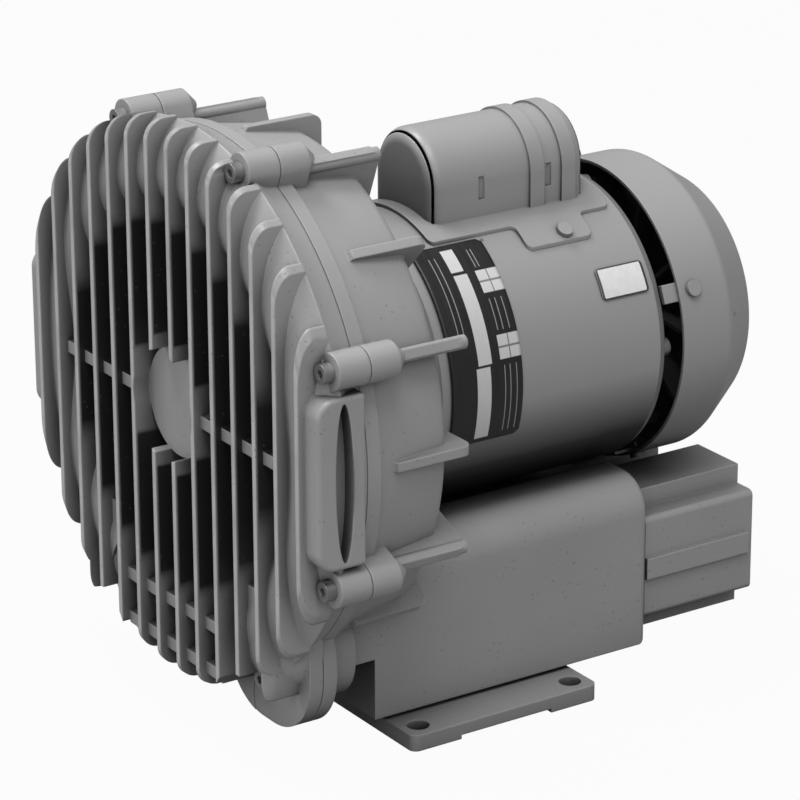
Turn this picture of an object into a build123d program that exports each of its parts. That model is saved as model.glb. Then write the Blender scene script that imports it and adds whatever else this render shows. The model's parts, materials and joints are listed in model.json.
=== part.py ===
from build123d import *
import math
import os

# Side channel blower with a single-phase motor.
# The shaft runs along +Y, the front cover faces -Y and the motor points to +Y.
# Every piece is drawn about the shaft axis and raised by SHAFT_HEIGHT when written,
# so that the origin is the centre of the four foot holes on the foot's underside.
# Lengths are millimetres, stations are places along Y.

# ---------------------------------------------------------------- foot
SHAFT_HEIGHT = 158.0
FOOT_HOLE_SPACING_X = 164.0
FOOT_HOLE_SPACING_Y = 86.5
FOOT_HOLE_RADIUS = 5.4
FOOT_EDGE_X = 10.0
FOOT_EDGE_Y = 9.3
FOOT_THICKNESS = 8.0
FOOT_PAD_LENGTH = 27.0
FOOT_RELIEF = 2.0
FOOT_CORNER = 4.0

# ---------------------------------------------------------------- cover screws
BOLT_CIRCLE_RADIUS = 132.0
BOLT_COUNT = 8
BOLT_ANGLE = 22.5
SCREW_RADIUS = 3.0
SCREW_HEAD_RADIUS = 4.5
SCREW_HEAD_HEIGHT = 5.0
SCREW_REACH = 16.0
SOCKET_RADIUS = 2.2
SOCKET_DEPTH = 2.6
BOSS_RADIUS = 8.5
HOLE_CLEARANCE = 0.3
THREAD_CLEARANCE = 0.05

# ---------------------------------------------------------------- cover and drum
PARTING_Y = -99.0
GASKET_THICKNESS = 0.6
RIM_RADIUS = 126.6
COVER_FLANGE = 7.0
BOSS_FACE_Y = -115.0
LOW_BOSS_FACE_Y = -104.5
LOBE_INNER_X = 16.0
LOBE_OUTER_X = 89.0
LOBE_BOTTOM_Z = -142.0
LOBE_CORNER = 32.0
WALL = 4.0
FIN_PITCH = 17.7
FIN_COUNT = 14
FIN_THICKNESS = 3.0
FIN_FACE_Y = -128.0
FIN_RADIUS = 133.0
FIN_LOBE_SETBACK = 8.0
FIN_ROUND = 9.5
WEB_FACE_Y = -107.0
HUB_FACE_Y = -119.5
HUB_DISC_RADIUS = 26.0
HUB_COLLAR_RADIUS = 31.0
HUB_COLLAR_Y = -113.0
BAR_HEIGHT = 6.0
BAR_FACE_Y = -124.0
LOWER_BAR_ZS = (-98.0, -120.5)
LOWER_BAR_HALF_SPAN = 44.0
HAND_POCKET_HALF_HEIGHT = 37.0
HAND_POCKET_HALF_WIDTH = 4.6
HAND_POCKET_DEPTH = 6.0
HAND_POCKET_Y = -111.5
SIDE_BEAD_HALF_HEIGHT = 40.0
SIDE_BEAD_FACE_Y = -125.0
SIDE_BEAD_ROUND = 9.0
CROWN_RADIUS = 107.0
CROWN_FACE_Y = -123.3
CROWN_INNER_ROUND = 20.0
CROWN_SHOULDER_RADIUS = 132.0
CROWN_SHOULDER_Y = -112.0
CROWN_LIP_RADIUS = 128.0
CROWN_LIP_Y = -106.0
LEG_CROWN = 23.0
LOW_SCREW_ROOM = 22.0
LOW_SCREW_ROOM_X = 62.0
LOW_SCREW_ROOM_Z = -133.0

# ---------------------------------------------------------------- side channel
CHANNEL_RADIUS = 102.8
CHANNEL_DEPTH = 16.0
STRIPPER_ANGLE = 64.0
LEG_X = 66.0
LEG_TOP_Z = -67.0
LEG_BOTTOM_Z = -98.0
IMPELLER_RADIUS = 118.0
IMPELLER_WIDTH = 24.0
IMPELLER_SIDE_GAP = 0.5
IMPELLER_TIP_GAP = 0.6
POCKET_FLOOR_Y = PARTING_Y + IMPELLER_WIDTH + 2 * IMPELLER_SIDE_GAP
BLADE_COUNT = 40
BLADE_THICKNESS = 2.6
BLADE_SWEEP = 5.0
BLADE_ROOT_RADIUS = 86.0
BLADE_WEB = 4.0
IMPELLER_DISC = 7.0
IMPELLER_HUB_RADIUS = 20.0
IMPELLER_HUB_LENGTH = 30.0
BALANCE_HOLE_COUNT = 6
BALANCE_HOLE_RADIUS = 5.0
BALANCE_HOLE_CIRCLE = 52.0

# ---------------------------------------------------------------- rear housing
HOUSING_FLANGE = 7.0
DRUM_FRONT_RADIUS = 124.0
DRUM_REAR_RADIUS = 117.5
DRUM_REAR_Y = -50.0
DRUM_ROUND = 7.0
LOBE_REAR_Y = -76.0
LOBE_REAR_SETBACK = 9.0
HOUSING_BOSS_LENGTH = 15.0
BOSS_TAIL_LENGTH = 6.0
RIB_RADIUS = 124.5
BOSS_RIB_RADIUS = 130.0
BOSS_RIB_EDGE = 3.2
RIB_REAR_Y = -42.0
RIB_FRONT_Y = -84.0
RIB_THICKNESS = 4.6
RIB_CORNER = 5.0
FLOOR_THICKNESS = 8.0
NECK_RADIUS = 72.0
NECK_WALL = 12.0
NECK_REAR_Y = -36.0
SEAL_BORE_RADIUS = 15.0
SEAL_BOSS_RADIUS = 21.0
SEAL_LENGTH = 8.0

# ---------------------------------------------------------------- muffler boxes
BOX_X = 38.0
BOX_HALF_WIDTH = 32.0
BOX_TOP_Z = -63.0
BOX_BOTTOM_Z = -148.0
BOX_TOP_ROUND = 18.0
BOX_LOW_ROUND = 4.0
BOX_WALL = 5.0
BOX_REAR_WALL = 10.0
BOX_FRONT_Y = -77.0
BOX_LOW_FRONT_Y = -59.0
BOX_SHOULDER_Z = -117.6
BOX_REAR_Y = 98.0
BOX_REAR_ROUND = 5.0
SADDLE_GAP = 4.0
LINER_THICKNESS = 6.0
LINER_GAP = 0.3
PORT_Z = -111.0
DUCT_HALF_WIDTH = 12.0

# ---------------------------------------------------------------- muffler extensions
EXT_GASKET = 1.0
EXT_REAR_Y = 164.0
EXT_HALF_WIDTH = 28.0
EXT_STEP_HALF_WIDTH = 16.0
EXT_HALF_HEIGHT = 36.0
EXT_SIDE_HALF_HEIGHT = 26.0
EXT_FLUTE = 9.0
EXT_BEAD_HALF_HEIGHT = 5.5
EXT_BEAD = 2.0
PORT_BORE_RADIUS = 22.2
PORT_BORE_DEPTH = 26.0
PORT_STOP = 3.0
EXT_SCREW_X = 22.5
EXT_SCREW_Z = 20.0
EXT_SCREW_RADIUS = 2.5
EXT_SCREW_HEAD_RADIUS = 4.2
EXT_SCREW_HEAD_HEIGHT = 4.0
EXT_SCREW_BITE = 8.0

# ---------------------------------------------------------------- motor
SHELL_RADIUS = 71.0
SHELL_WALL = 2.5
SHELL_FRONT_Y = -22.0
SHELL_REAR_Y = 102.0
BELL_LIP = 6.0
BELL_FLOOR = 5.0
FRONT_BELL_REAR_Y = -24.0
BEARING_OUTER_RADIUS = 20.0
BEARING_BORE_RADIUS = 8.5
BEARING_WIDTH = 12.0
BEARING_GROOVE = 2.2
BALL_RADIUS = 3.4
BALL_COUNT = 8
FRONT_BEARING_Y = -34.0
REAR_BEARING_Y = 113.0
BEARING_BOSS_WALL = 5.0
REAR_BELL_RADIUS = 66.0
REAR_BELL_REAR_Y = 112.0
STATOR_FRONT_Y = 8.0
STATOR_LENGTH = 70.0
STATOR_BORE_RADIUS = 38.0
STATOR_SLOT_COUNT = 24
STATOR_SLOT_DEPTH = 15.0
STATOR_SLOT_WIDTH = 5.0
COIL_LENGTH = 18.0
COIL_INNER_RADIUS = 43.0
COIL_OUTER_RADIUS = 59.0
AIR_GAP = 0.4
ROTOR_OVERHANG = 2.0
ROTOR_RING_LENGTH = 6.0
ROTOR_VANE_COUNT = 8
THROUGH_BOLT_CIRCLE = 64.0
THROUGH_BOLT_RADIUS = 2.4
THROUGH_BOLT_HEAD_RADIUS = 4.4
THROUGH_BOLT_HEAD = 4.0
MOUNT_SCREW_CIRCLE = 66.0
MOUNT_SCREW_RADIUS = 3.0
MOUNT_SCREW_HEAD_RADIUS = 4.8
MOUNT_SCREW_HEAD = 6.0
MOUNT_SCREW_BITE = 9.0

# ---------------------------------------------------------------- shaft
SHAFT_FRONT_Y = -111.0
SHAFT_REAR_Y = 150.0
SHAFT_RADIUS = 8.0
SHAFT_CORE_RADIUS = 10.5
SHAFT_FAN_RADIUS = 6.5
SHAFT_THREAD_RADIUS = 6.0
RUNNING_CLEARANCE = 0.05
KEY_WIDTH = 5.0
KEY_HEIGHT = 5.0
NUT_HEIGHT = 8.0
NUT_ACROSS_FLATS = 19.0
NUT_POCKET_RADIUS = 17.0
NUT_POCKET_ROOM = 4.0
WASHER_THICKNESS = 2.5
WASHER_RADIUS = 14.0

# ---------------------------------------------------------------- centrifugal switch
SWITCH_BASE_Y = 88.0
SWITCH_BASE_RADIUS = 24.0
SWITCH_PIVOT_Y = 95.0
SWITCH_PIVOT_RISE = 5.0
SWITCH_PIVOT_Z = 22.0
SWITCH_PIN_RADIUS = 1.0
SWITCH_WEIGHT_WIDTH = 9.0
SWITCH_FINGER = 7.0
SWITCH_COLLAR_RADIUS = 17.0
SWITCH_PLATE_THICKNESS = 2.0

# ---------------------------------------------------------------- fan and cowl
COWL_RADIUS = 73.7
COWL_WALL = 1.6
COWL_RIM_Y = 114.0
COWL_SHOULDER_Y = 142.0
COWL_REAR_Y = 166.0
COWL_REAR_RADIUS = 58.0
COWL_SHOULDER_ROUND = 6.0
GRILLE_RING_COUNT = 4
GRILLE_RING_PITCH = 10.5
GRILLE_INNER_RADIUS = 12.0
GRILLE_SLOT = 6.0
GRILLE_SPOKES = 4
GRILLE_SPOKE_WIDTH = 6.0
FAN_RADIUS = 62.0
FAN_FRONT_Y = 128.0
FAN_BLADE_DEPTH = 15.0
FAN_BLADE_COUNT = 10
FAN_BLADE_THICKNESS = 2.4
FAN_DISC = 2.4
FAN_HUB_RADIUS = 14.0
COWL_BRACKET_WIDTH = 9.0
COWL_BRACKET_COUNT = 4
COWL_BRACKET_THICKNESS = 1.6
COWL_SCREW_RADIUS = 2.0
COWL_SCREW_HEAD_RADIUS = 3.8
COWL_SCREW_HEAD = 2.2

# ---------------------------------------------------------------- capacitor cover
HUMP_HALF_WIDTH = 25.0
HUMP_TOP_Z = 109.0
HUMP_FRONT_Y = 3.0
HUMP_REAR_Y = 91.0
HUMP_WALL = 1.6
HUMP_ROUND = 7.0
HUMP_BAND_YS = (62.0, 80.0)
HUMP_BAND_WIDTH = 8.0
HUMP_BAND_HEIGHT = 1.2
HUMP_DIMPLE_YS = (31.0, 69.0)
HUMP_DIMPLE_Z = 82.0
HUMP_DIMPLE_HALF_HEIGHT = 5.5
HUMP_DIMPLE_RADIUS = 1.8
FLANGE_THICKNESS = 1.6
FLANGE_HALF_WIDTH = 34.0
FLANGE_EAR_HALF_WIDTH = 46.0
FLANGE_EAR_YS = (43.0, 80.0)
FLANGE_MARGIN = 7.0
FLANGE_SCREW_X = 41.0
FLANGE_SCREW_Y = 66.0
CAPACITOR_RADIUS = 17.5
CAPACITOR_LENGTH = 70.0
CAPACITOR_TERMINAL = 5.0

# ---------------------------------------------------------------- plates
PLATE_THICKNESS = 0.5
DATA_PLATE_YS = (-17.0, 22.0)
DATA_PLATE_ANGLES = (-19.0, 60.0)
SMALL_LABEL_YS = (72.5, 99.0)
SMALL_LABEL_ANGLES = (25.0, 37.0)

# ---------------------------------------------------------------- worked-out values
PORT_SIGNS = {"right": 1, "left": -1}
COVER_BACK_Y = PARTING_Y - GASKET_THICKNESS / 2
HOUSING_FACE_Y = PARTING_Y + GASKET_THICKNESS / 2
IMPELLER_Y = PARTING_Y + IMPELLER_SIDE_GAP + IMPELLER_WIDTH / 2
BULGE_RADIUS = CHANNEL_DEPTH + WALL
STATOR_REAR_Y = STATOR_FRONT_Y + STATOR_LENGTH
SHELL_BORE_RADIUS = SHELL_RADIUS - SHELL_WALL
BOLT_ANGLES = [BOLT_ANGLE + 360 / BOLT_COUNT * i for i in range(BOLT_COUNT)]
FOOT_BOTTOM_Z = -SHAFT_HEIGHT
FOOT_TOP_Z = FOOT_BOTTOM_Z + FOOT_THICKNESS


# ================================================================ helpers
def slab(outline, y_front, y_back):
    """Extrude an outline, drawn as seen looking along +Y, between two stations."""
    plane = Plane(origin=(0, y_back, 0), x_dir=(1, 0, 0), z_dir=(0, -1, 0))
    return extrude(plane * outline, amount=y_back - y_front)


def turned(*points):
    """Revolve a closed polygon of (radius, station) points about the shaft axis."""
    return revolve(make_face(Polyline(*points, close=True)), Axis.Y)


def rod(radius, y_front, y_back, x=0.0, z=0.0):
    """A plain cylinder along the shaft direction."""
    return slab(Pos(x, z) * Circle(radius), y_front, y_back)


def tube(outer, inner, y_front, y_back):
    """A ring about the shaft axis."""
    return slab(Circle(outer) - Circle(inner), y_front, y_back)


def around(shape, angle):
    """Turn a piece about the shaft axis, counter-clockwise as seen from the front."""
    return Rot(0, -angle, 0) * shape


def polar(radius, angle):
    """The x and z of a point at an angle about the shaft axis."""
    return radius * math.cos(math.radians(angle)), radius * math.sin(math.radians(angle))


def block(x_span, y_span, z_span):
    """A box from three (low, high) spans."""
    size = [high - low for low, high in (x_span, y_span, z_span)]
    middle = [(high + low) / 2 for low, high in (x_span, y_span, z_span)]
    return Pos(*middle) * Box(*size)


def cap_screw(radius, head_radius, head_height, y_seat, y_tip):
    """A socket head screw whose head is in front of its seat and whose tip points to +Y."""
    socket = RegularPolygon(head_radius * SOCKET_RADIUS / SCREW_HEAD_RADIUS, 6)
    screw = rod(radius, y_seat, y_tip) + rod(head_radius, y_seat - head_height, y_seat)
    return screw - slab(socket, y_seat - head_height, y_seat - head_height + SOCKET_DEPTH)


def facing_back(shape, y_seat):
    """Turn a screw drawn from station 0 so that its head faces +Y, and seat it at a station."""
    return Pos(0, y_seat, 0) * Rot(0, 0, 180) * shape


def write(shape, name):
    """Raise a piece to its height above the foot and write it as one STEP file."""
    export_step(Pos(0, 0, SHAFT_HEIGHT) * shape, f"parts/{name}.step")


# ================================================================ casing outlines
def lobe(sign, setback=0.0):
    """The lower corner of the casing that carries a port leg."""
    width = LOBE_OUTER_X - LOBE_INNER_X - 2 * setback
    height = 2 * LOBE_CORNER + 4.0
    corner = LOBE_CORNER - setback
    shape = RectangleRounded(width, height - 2 * setback, corner)
    centre_x = (LOBE_OUTER_X + LOBE_INNER_X) / 2
    return Pos(sign * centre_x, LOBE_BOTTOM_Z + height / 2) * shape


def casing_outline(radius, setback=0.0):
    """Round body with the two lobes of the port legs at the bottom."""
    outline = Circle(radius)
    for sign in PORT_SIGNS.values():
        outline += lobe(sign, setback)
    return outline


def over_port_leg(angle):
    """Whether a direction about the shaft points down between the two port legs."""
    return math.sin(math.radians(angle)) < -0.9


def boss_face_y(angle):
    """The two screws under the port legs sit low on the flange, the others on tall bosses."""
    return LOW_BOSS_FACE_Y if over_port_leg(angle) else BOSS_FACE_Y


def boss_pad(angle):
    """Round end of a screw boss with the neck that ties it to the rim."""
    neck = Pos(BOLT_CIRCLE_RADIUS - BOSS_RADIUS) * Rectangle(2 * BOSS_RADIUS, 2 * BOSS_RADIUS)
    return Rot(0, 0, angle) * (Pos(BOLT_CIRCLE_RADIUS) * Circle(BOSS_RADIUS) + neck)


def channel_ring(depth, y, front):
    """Half ring of round section: the body of one side channel."""
    section = Pos(CHANNEL_RADIUS, y) * Circle(depth)
    half = Rectangle(2 * depth + 2, depth + 1, align=(Align.CENTER, Align.MAX if front else Align.MIN))
    return revolve(section & (Pos(CHANNEL_RADIUS, y) * half), Axis.Y)


def port_leg(sign, depth, y):
    """Half-round leg that leads from the channel down to a port."""
    leg = Pos(sign * LEG_X, y, (LEG_TOP_Z + LEG_BOTTOM_Z) / 2) * Cylinder(depth, LEG_TOP_Z - LEG_BOTTOM_Z)
    leg += Pos(sign * LEG_X, y, LEG_BOTTOM_Z) * Sphere(depth)
    reach = 2 * depth
    front = block((sign * LEG_X - reach, sign * LEG_X + reach), (y - reach, y),
                  (LEG_BOTTOM_Z - reach, LEG_TOP_Z + reach))
    return leg & front


# ================================================================ front cover
def cover_crown():
    """Round-backed ridge over the side channel: steep towards the hub, flaring out to the shoulder at the rim."""
    crest = (CROWN_RADIUS, CROWN_FACE_Y)
    shoulder = (CROWN_SHOULDER_RADIUS, CROWN_SHOULDER_Y)
    rise = CROWN_SHOULDER_Y - CROWN_FACE_Y
    reach = CROWN_SHOULDER_RADIUS - CROWN_RADIUS
    bend = (reach ** 2 + rise ** 2) / (2 * rise)
    half_turn = math.atan2(reach, bend - rise) / 2
    middle = (CROWN_RADIUS + bend * math.sin(half_turn), CROWN_FACE_Y + bend * (1 - math.cos(half_turn)))
    inner = (CROWN_RADIUS - CROWN_INNER_ROUND, CROWN_FACE_Y + CROWN_INNER_ROUND)
    slope = CROWN_INNER_ROUND * math.sqrt(0.5)
    inner_middle = (CROWN_RADIUS - slope, CROWN_FACE_Y + CROWN_INNER_ROUND - slope)
    back = Polyline(shoulder, (CROWN_LIP_RADIUS, CROWN_LIP_Y), (RIM_RADIUS, COVER_BACK_Y),
                    (inner[0], COVER_BACK_Y), inner)
    section = ThreePointArc(inner, inner_middle, crest) + ThreePointArc(crest, middle, shoulder) + back
    crown = revolve(make_face(section), Axis.Y)
    return crown - stripper(FIN_FACE_Y, WEB_FACE_Y)


def cover_fins():
    """Upright cooling fins cut from one rounded blank, so that they share its outline."""
    back_y = COVER_BACK_Y - COVER_FLANGE
    blank = rod(FIN_RADIUS, FIN_FACE_Y, CROWN_SHOULDER_Y)
    blank = fillet(blank.faces().sort_by(Axis.Y)[0].edges(), FIN_ROUND)
    blank += rod(RIM_RADIUS, CROWN_SHOULDER_Y, back_y)
    for sign in PORT_SIGNS.values():
        corner = slab(lobe(sign, FIN_LOBE_SETBACK), FIN_FACE_Y, back_y)
        blank += fillet(corner.faces().sort_by(Axis.Y)[0].edges(), FIN_ROUND)
    reach = 2 * RIM_RADIUS
    plates = []
    for index in range(FIN_COUNT):
        x = (index - (FIN_COUNT - 1) / 2) * FIN_PITCH
        half = FIN_THICKNESS / 2
        plates.append(block((x - half, x + half), (FIN_FACE_Y - 1, COVER_BACK_Y), (-reach, reach)))
    return blank & Compound(plates)


def cover_bars():
    """Short cross bars between the fins: one row through the hub, two over the stripper."""
    half = BAR_HEIGHT / 2
    span = CHANNEL_RADIUS - CHANNEL_DEPTH / 2
    bars = block((-span, span), (BAR_FACE_Y, WEB_FACE_Y), (-half, half))
    for z in LOWER_BAR_ZS:
        bars += block((-LOWER_BAR_HALF_SPAN, LOWER_BAR_HALF_SPAN), (BAR_FACE_Y, WEB_FACE_Y),
                      (z - half, z + half))
    return bars


def side_bead(sign):
    """Upright edge that joins the middle two bosses on one side of the cover."""
    edge_x = BOLT_CIRCLE_RADIUS * math.cos(math.radians(BOLT_ANGLE)) + 3.0
    bead = block((edge_x - 10, edge_x + 3), (SIDE_BEAD_FACE_Y, COVER_BACK_Y - 2),
                 (-SIDE_BEAD_HALF_HEIGHT, SIDE_BEAD_HALF_HEIGHT))
    front = bead.faces().sort_by(Axis.Y)[0].edges()
    bead = fillet(front.filter_by(Axis.X), SIDE_BEAD_ROUND)
    bead = fillet(bead.faces().sort_by(Axis.Y)[0].edges().filter_by(Axis.Z), 2.0)
    return bead if sign > 0 else mirror(bead, Plane.YZ)


def side_pocket(sign):
    """Lens-shaped pocket behind the side bead."""
    outer_x = BOLT_CIRCLE_RADIUS
    plane = Plane(origin=(sign * outer_x, HAND_POCKET_Y, 0), x_dir=(0, 1, 0), z_dir=(sign, 0, 0))
    depth = outer_x - RIM_RADIUS + HAND_POCKET_DEPTH
    lens = Ellipse(HAND_POCKET_HALF_WIDTH, HAND_POCKET_HALF_HEIGHT)
    return extrude(plane * lens, amount=-depth)


def front_cover():
    """Finned aluminium casting that closes the front of the side channel."""
    cover = slab(casing_outline(RIM_RADIUS), COVER_BACK_Y - COVER_FLANGE, COVER_BACK_Y)
    cover += rod(CHANNEL_RADIUS, WEB_FACE_Y, COVER_BACK_Y)
    cover += cover_crown()
    for sign in PORT_SIGNS.values():
        cover += port_leg(sign, LEG_CROWN, COVER_BACK_Y)
    cover += cover_fins()
    cover += cover_bars()
    cover -= rod(HUB_DISC_RADIUS, FIN_FACE_Y - 1, HUB_FACE_Y)
    cover += turned((0, HUB_FACE_Y), (HUB_DISC_RADIUS, HUB_FACE_Y), (HUB_COLLAR_RADIUS, HUB_COLLAR_Y),
                    (HUB_COLLAR_RADIUS, WEB_FACE_Y + 1), (0, WEB_FACE_Y + 1))
    for sign in PORT_SIGNS.values():
        cover -= rod(LOW_SCREW_ROOM, FIN_FACE_Y - 1, LOW_BOSS_FACE_Y - 1.5,
                     sign * LOW_SCREW_ROOM_X, LOW_SCREW_ROOM_Z)
    for angle in BOLT_ANGLES:
        cover += slab(boss_pad(angle), boss_face_y(angle), COVER_BACK_Y)
    for sign in PORT_SIGNS.values():
        cover += side_bead(sign)
        cover -= side_pocket(sign)
        cover -= port_leg(sign, CHANNEL_DEPTH, COVER_BACK_Y)
    ring = channel_ring(CHANNEL_DEPTH, COVER_BACK_Y, True)
    cover -= ring - stripper(COVER_BACK_Y - 2 * CHANNEL_DEPTH, COVER_BACK_Y)
    cover -= rod(NUT_POCKET_RADIUS, SHAFT_FRONT_Y - NUT_POCKET_ROOM, COVER_BACK_Y)
    for angle in BOLT_ANGLES:
        x, z = polar(BOLT_CIRCLE_RADIUS, angle)
        cover -= rod(SCREW_RADIUS + HOLE_CLEARANCE, FIN_FACE_Y, COVER_BACK_Y, x, z)
        cover -= rod(SCREW_HEAD_RADIUS + 2 * HOLE_CLEARANCE, FIN_FACE_Y - 1, boss_face_y(angle), x, z)
    return cover


def stripper(y_front, y_back):
    """Wedge at the bottom where the channel is blocked between outlet and inlet."""
    reach = CHANNEL_RADIUS + 2 * CHANNEL_DEPTH
    half = math.tan(math.radians(STRIPPER_ANGLE / 2)) * reach
    return slab(make_face(Polyline((0, 0), (-half, -reach), (half, -reach), close=True)), y_front, y_back)


def cover_gasket():
    """Sheet gasket between the cover and the rear housing."""
    outline = casing_outline(RIM_RADIUS)
    for angle in BOLT_ANGLES:
        outline += boss_pad(angle)
    for angle in BOLT_ANGLES:
        outline -= Pos(*polar(BOLT_CIRCLE_RADIUS, angle)) * Circle(SCREW_RADIUS + HOLE_CLEARANCE)
    outline -= Circle(IMPELLER_RADIUS + IMPELLER_TIP_GAP + 1)
    for sign in PORT_SIGNS.values():
        opening = SlotCenterToCenter(LEG_TOP_Z - LEG_BOTTOM_Z, 2 * CHANNEL_DEPTH, rotation=90)
        outline -= Pos(sign * LEG_X, (LEG_TOP_Z + LEG_BOTTOM_Z) / 2) * opening
    return slab(outline, COVER_BACK_Y, HOUSING_FACE_Y)


def cover_screws():
    """Eight socket head screws round the cover."""
    screws = []
    for angle in BOLT_ANGLES:
        x, z = polar(BOLT_CIRCLE_RADIUS, angle)
        seat = boss_face_y(angle)
        tip = HOUSING_FACE_Y + SCREW_REACH - 4
        screw = cap_screw(SCREW_RADIUS, SCREW_HEAD_RADIUS, SCREW_HEAD_HEIGHT, seat, tip)
        screws.append(Pos(x, 0, z) * screw)
    return Compound(screws)


# ================================================================ rear housing
def drum():
    """Round rear half of the casing with its rounded back edge."""
    front_y = HOUSING_FACE_Y
    profile = Polyline(
        (0, front_y), (DRUM_FRONT_RADIUS, front_y), (DRUM_FRONT_RADIUS, front_y + HOUSING_FLANGE),
        (DRUM_REAR_RADIUS, DRUM_REAR_Y), (CHANNEL_RADIUS - BULGE_RADIUS, DRUM_REAR_Y),
        (NECK_RADIUS, POCKET_FLOOR_Y + FLOOR_THICKNESS), (0, POCKET_FLOOR_Y + FLOOR_THICKNESS), close=True)
    body = revolve(make_face(profile), Axis.Y)
    back_rim = body.edges().filter_by(GeomType.CIRCLE).sort_by(Axis.Y)[-2:].sort_by(SortBy.RADIUS)[-1]
    return fillet(back_rim, DRUM_ROUND)


def housing_rib(angle, top_radius):
    """Axial rib that runs along the drum and turns down its back to the motor neck."""
    foot_radius = DRUM_REAR_RADIUS - DRUM_ROUND
    profile = Polyline(
        (foot_radius, RIB_FRONT_Y), (DRUM_FRONT_RADIUS - 3, RIB_FRONT_Y), (top_radius, RIB_FRONT_Y + 3),
        (top_radius, RIB_REAR_Y), (NECK_RADIUS - 4, RIB_REAR_Y), (NECK_RADIUS - 4, POCKET_FLOOR_Y + 2),
        (foot_radius, POCKET_FLOOR_Y + 2), close=True)
    rib = extrude(make_face(profile), amount=RIB_THICKNESS / 2, both=True)
    corner = rib.edges().filter_by(Axis.Z).sort_by(lambda edge: edge.center().X + edge.center().Y)[-1]
    return around(fillet(corner, RIB_CORNER), angle)


def boss_rib(angle):
    """Taller rib behind a screw boss, with a round bead along its top edge."""
    bead_x, bead_z = polar(BOSS_RIB_RADIUS - BOSS_RIB_EDGE, angle)
    bead = rod(BOSS_RIB_EDGE, HOUSING_FACE_Y + HOUSING_BOSS_LENGTH, RIB_REAR_Y, bead_x, bead_z)
    return housing_rib(angle, BOSS_RIB_RADIUS) + bead


def housing_boss(angle):
    """Screw boss that tapers into the rib behind it."""
    body = slab(boss_pad(angle), HOUSING_FACE_Y, HOUSING_FACE_Y + HOUSING_BOSS_LENGTH)
    x, z = polar(BOLT_CIRCLE_RADIUS, angle)
    tail = Cone(BOSS_RADIUS, RIB_THICKNESS / 2, BOSS_TAIL_LENGTH, align=(Align.CENTER, Align.CENTER, Align.MIN))
    return body + Pos(x, HOUSING_FACE_Y + HOUSING_BOSS_LENGTH, z) * Rot(-90, 0, 0) * tail


def box_outline(inset=0.0):
    """Cross-section of a muffler box at the +X side, with its rounded outer shoulder."""
    low_x = BOX_X - BOX_HALF_WIDTH + inset
    high_x = BOX_X + BOX_HALF_WIDTH - inset
    low_z = BOX_BOTTOM_Z + inset
    high_z = BOX_TOP_Z - inset
    outline = Pos((low_x + high_x) / 2, (low_z + high_z) / 2) * Rectangle(high_x - low_x, high_z - low_z)
    shoulder = outline.vertices().sort_by(lambda point: point.X + point.Y)[-1]
    return fillet(shoulder, max(BOX_TOP_ROUND - inset, 1.0))


def muffler_box():
    """Muffler chamber beside the foot at the +X side, hollowed under the motor."""
    upper = slab(box_outline(), BOX_FRONT_Y, BOX_REAR_Y)
    step = block((0, 2 * BOX_X), (BOX_FRONT_Y, BOX_LOW_FRONT_Y), (BOX_BOTTOM_Z - 1, BOX_SHOULDER_Z))
    upper -= step
    upper -= rod(SHELL_RADIUS + SADDLE_GAP, NECK_REAR_Y, BOX_REAR_Y + 1)
    rear_edges = upper.faces().sort_by(Axis.Y)[-1].edges()
    return fillet(rear_edges, BOX_REAR_ROUND)


def muffler_chamber():
    """The hollow inside a muffler box, open at the rear."""
    outline = box_outline(BOX_WALL) - Circle(SHELL_RADIUS + SADDLE_GAP + BOX_WALL)
    chamber = slab(outline, BOX_LOW_FRONT_Y + BOX_WALL, BOX_REAR_Y - BOX_REAR_WALL)
    return chamber + rod(PORT_BORE_RADIUS - PORT_STOP, BOX_LOW_FRONT_Y + BOX_WALL, BOX_REAR_Y + 1, BOX_X, PORT_Z)


def port_duct():
    """Passage from the side channel's leg back into the muffler chamber."""
    return block((LEG_X - CHANNEL_DEPTH, BOX_X + BOX_HALF_WIDTH - BOX_WALL),
                 (HOUSING_FACE_Y, BOX_LOW_FRONT_Y + BOX_WALL), (BOX_SHOULDER_Z + BOX_WALL, -82))


def foot():
    """Foot plate with raised pads under its ends."""
    half_x = FOOT_HOLE_SPACING_X / 2 + FOOT_EDGE_X
    half_y = FOOT_HOLE_SPACING_Y / 2 + FOOT_EDGE_Y
    plate = block((-half_x, half_x), (-half_y, half_y), (FOOT_BOTTOM_Z, FOOT_TOP_Z))
    plate = fillet(plate.edges().filter_by(Axis.Z), FOOT_CORNER)
    relief_y = half_y - FOOT_PAD_LENGTH
    plate -= block((-half_x - 1, half_x + 1), (-relief_y, relief_y),
                   (FOOT_BOTTOM_Z, FOOT_BOTTOM_Z + FOOT_RELIEF))
    plate += block((-BOX_X, BOX_X), (-half_y, half_y), (FOOT_TOP_Z - 1, BOX_BOTTOM_Z + 1))
    for x in (-FOOT_HOLE_SPACING_X / 2, FOOT_HOLE_SPACING_X / 2):
        for y in (-FOOT_HOLE_SPACING_Y / 2, FOOT_HOLE_SPACING_Y / 2):
            plate -= Pos(x, y, FOOT_TOP_Z) * Cylinder(FOOT_HOLE_RADIUS, 3 * FOOT_THICKNESS)
    return plate


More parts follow.
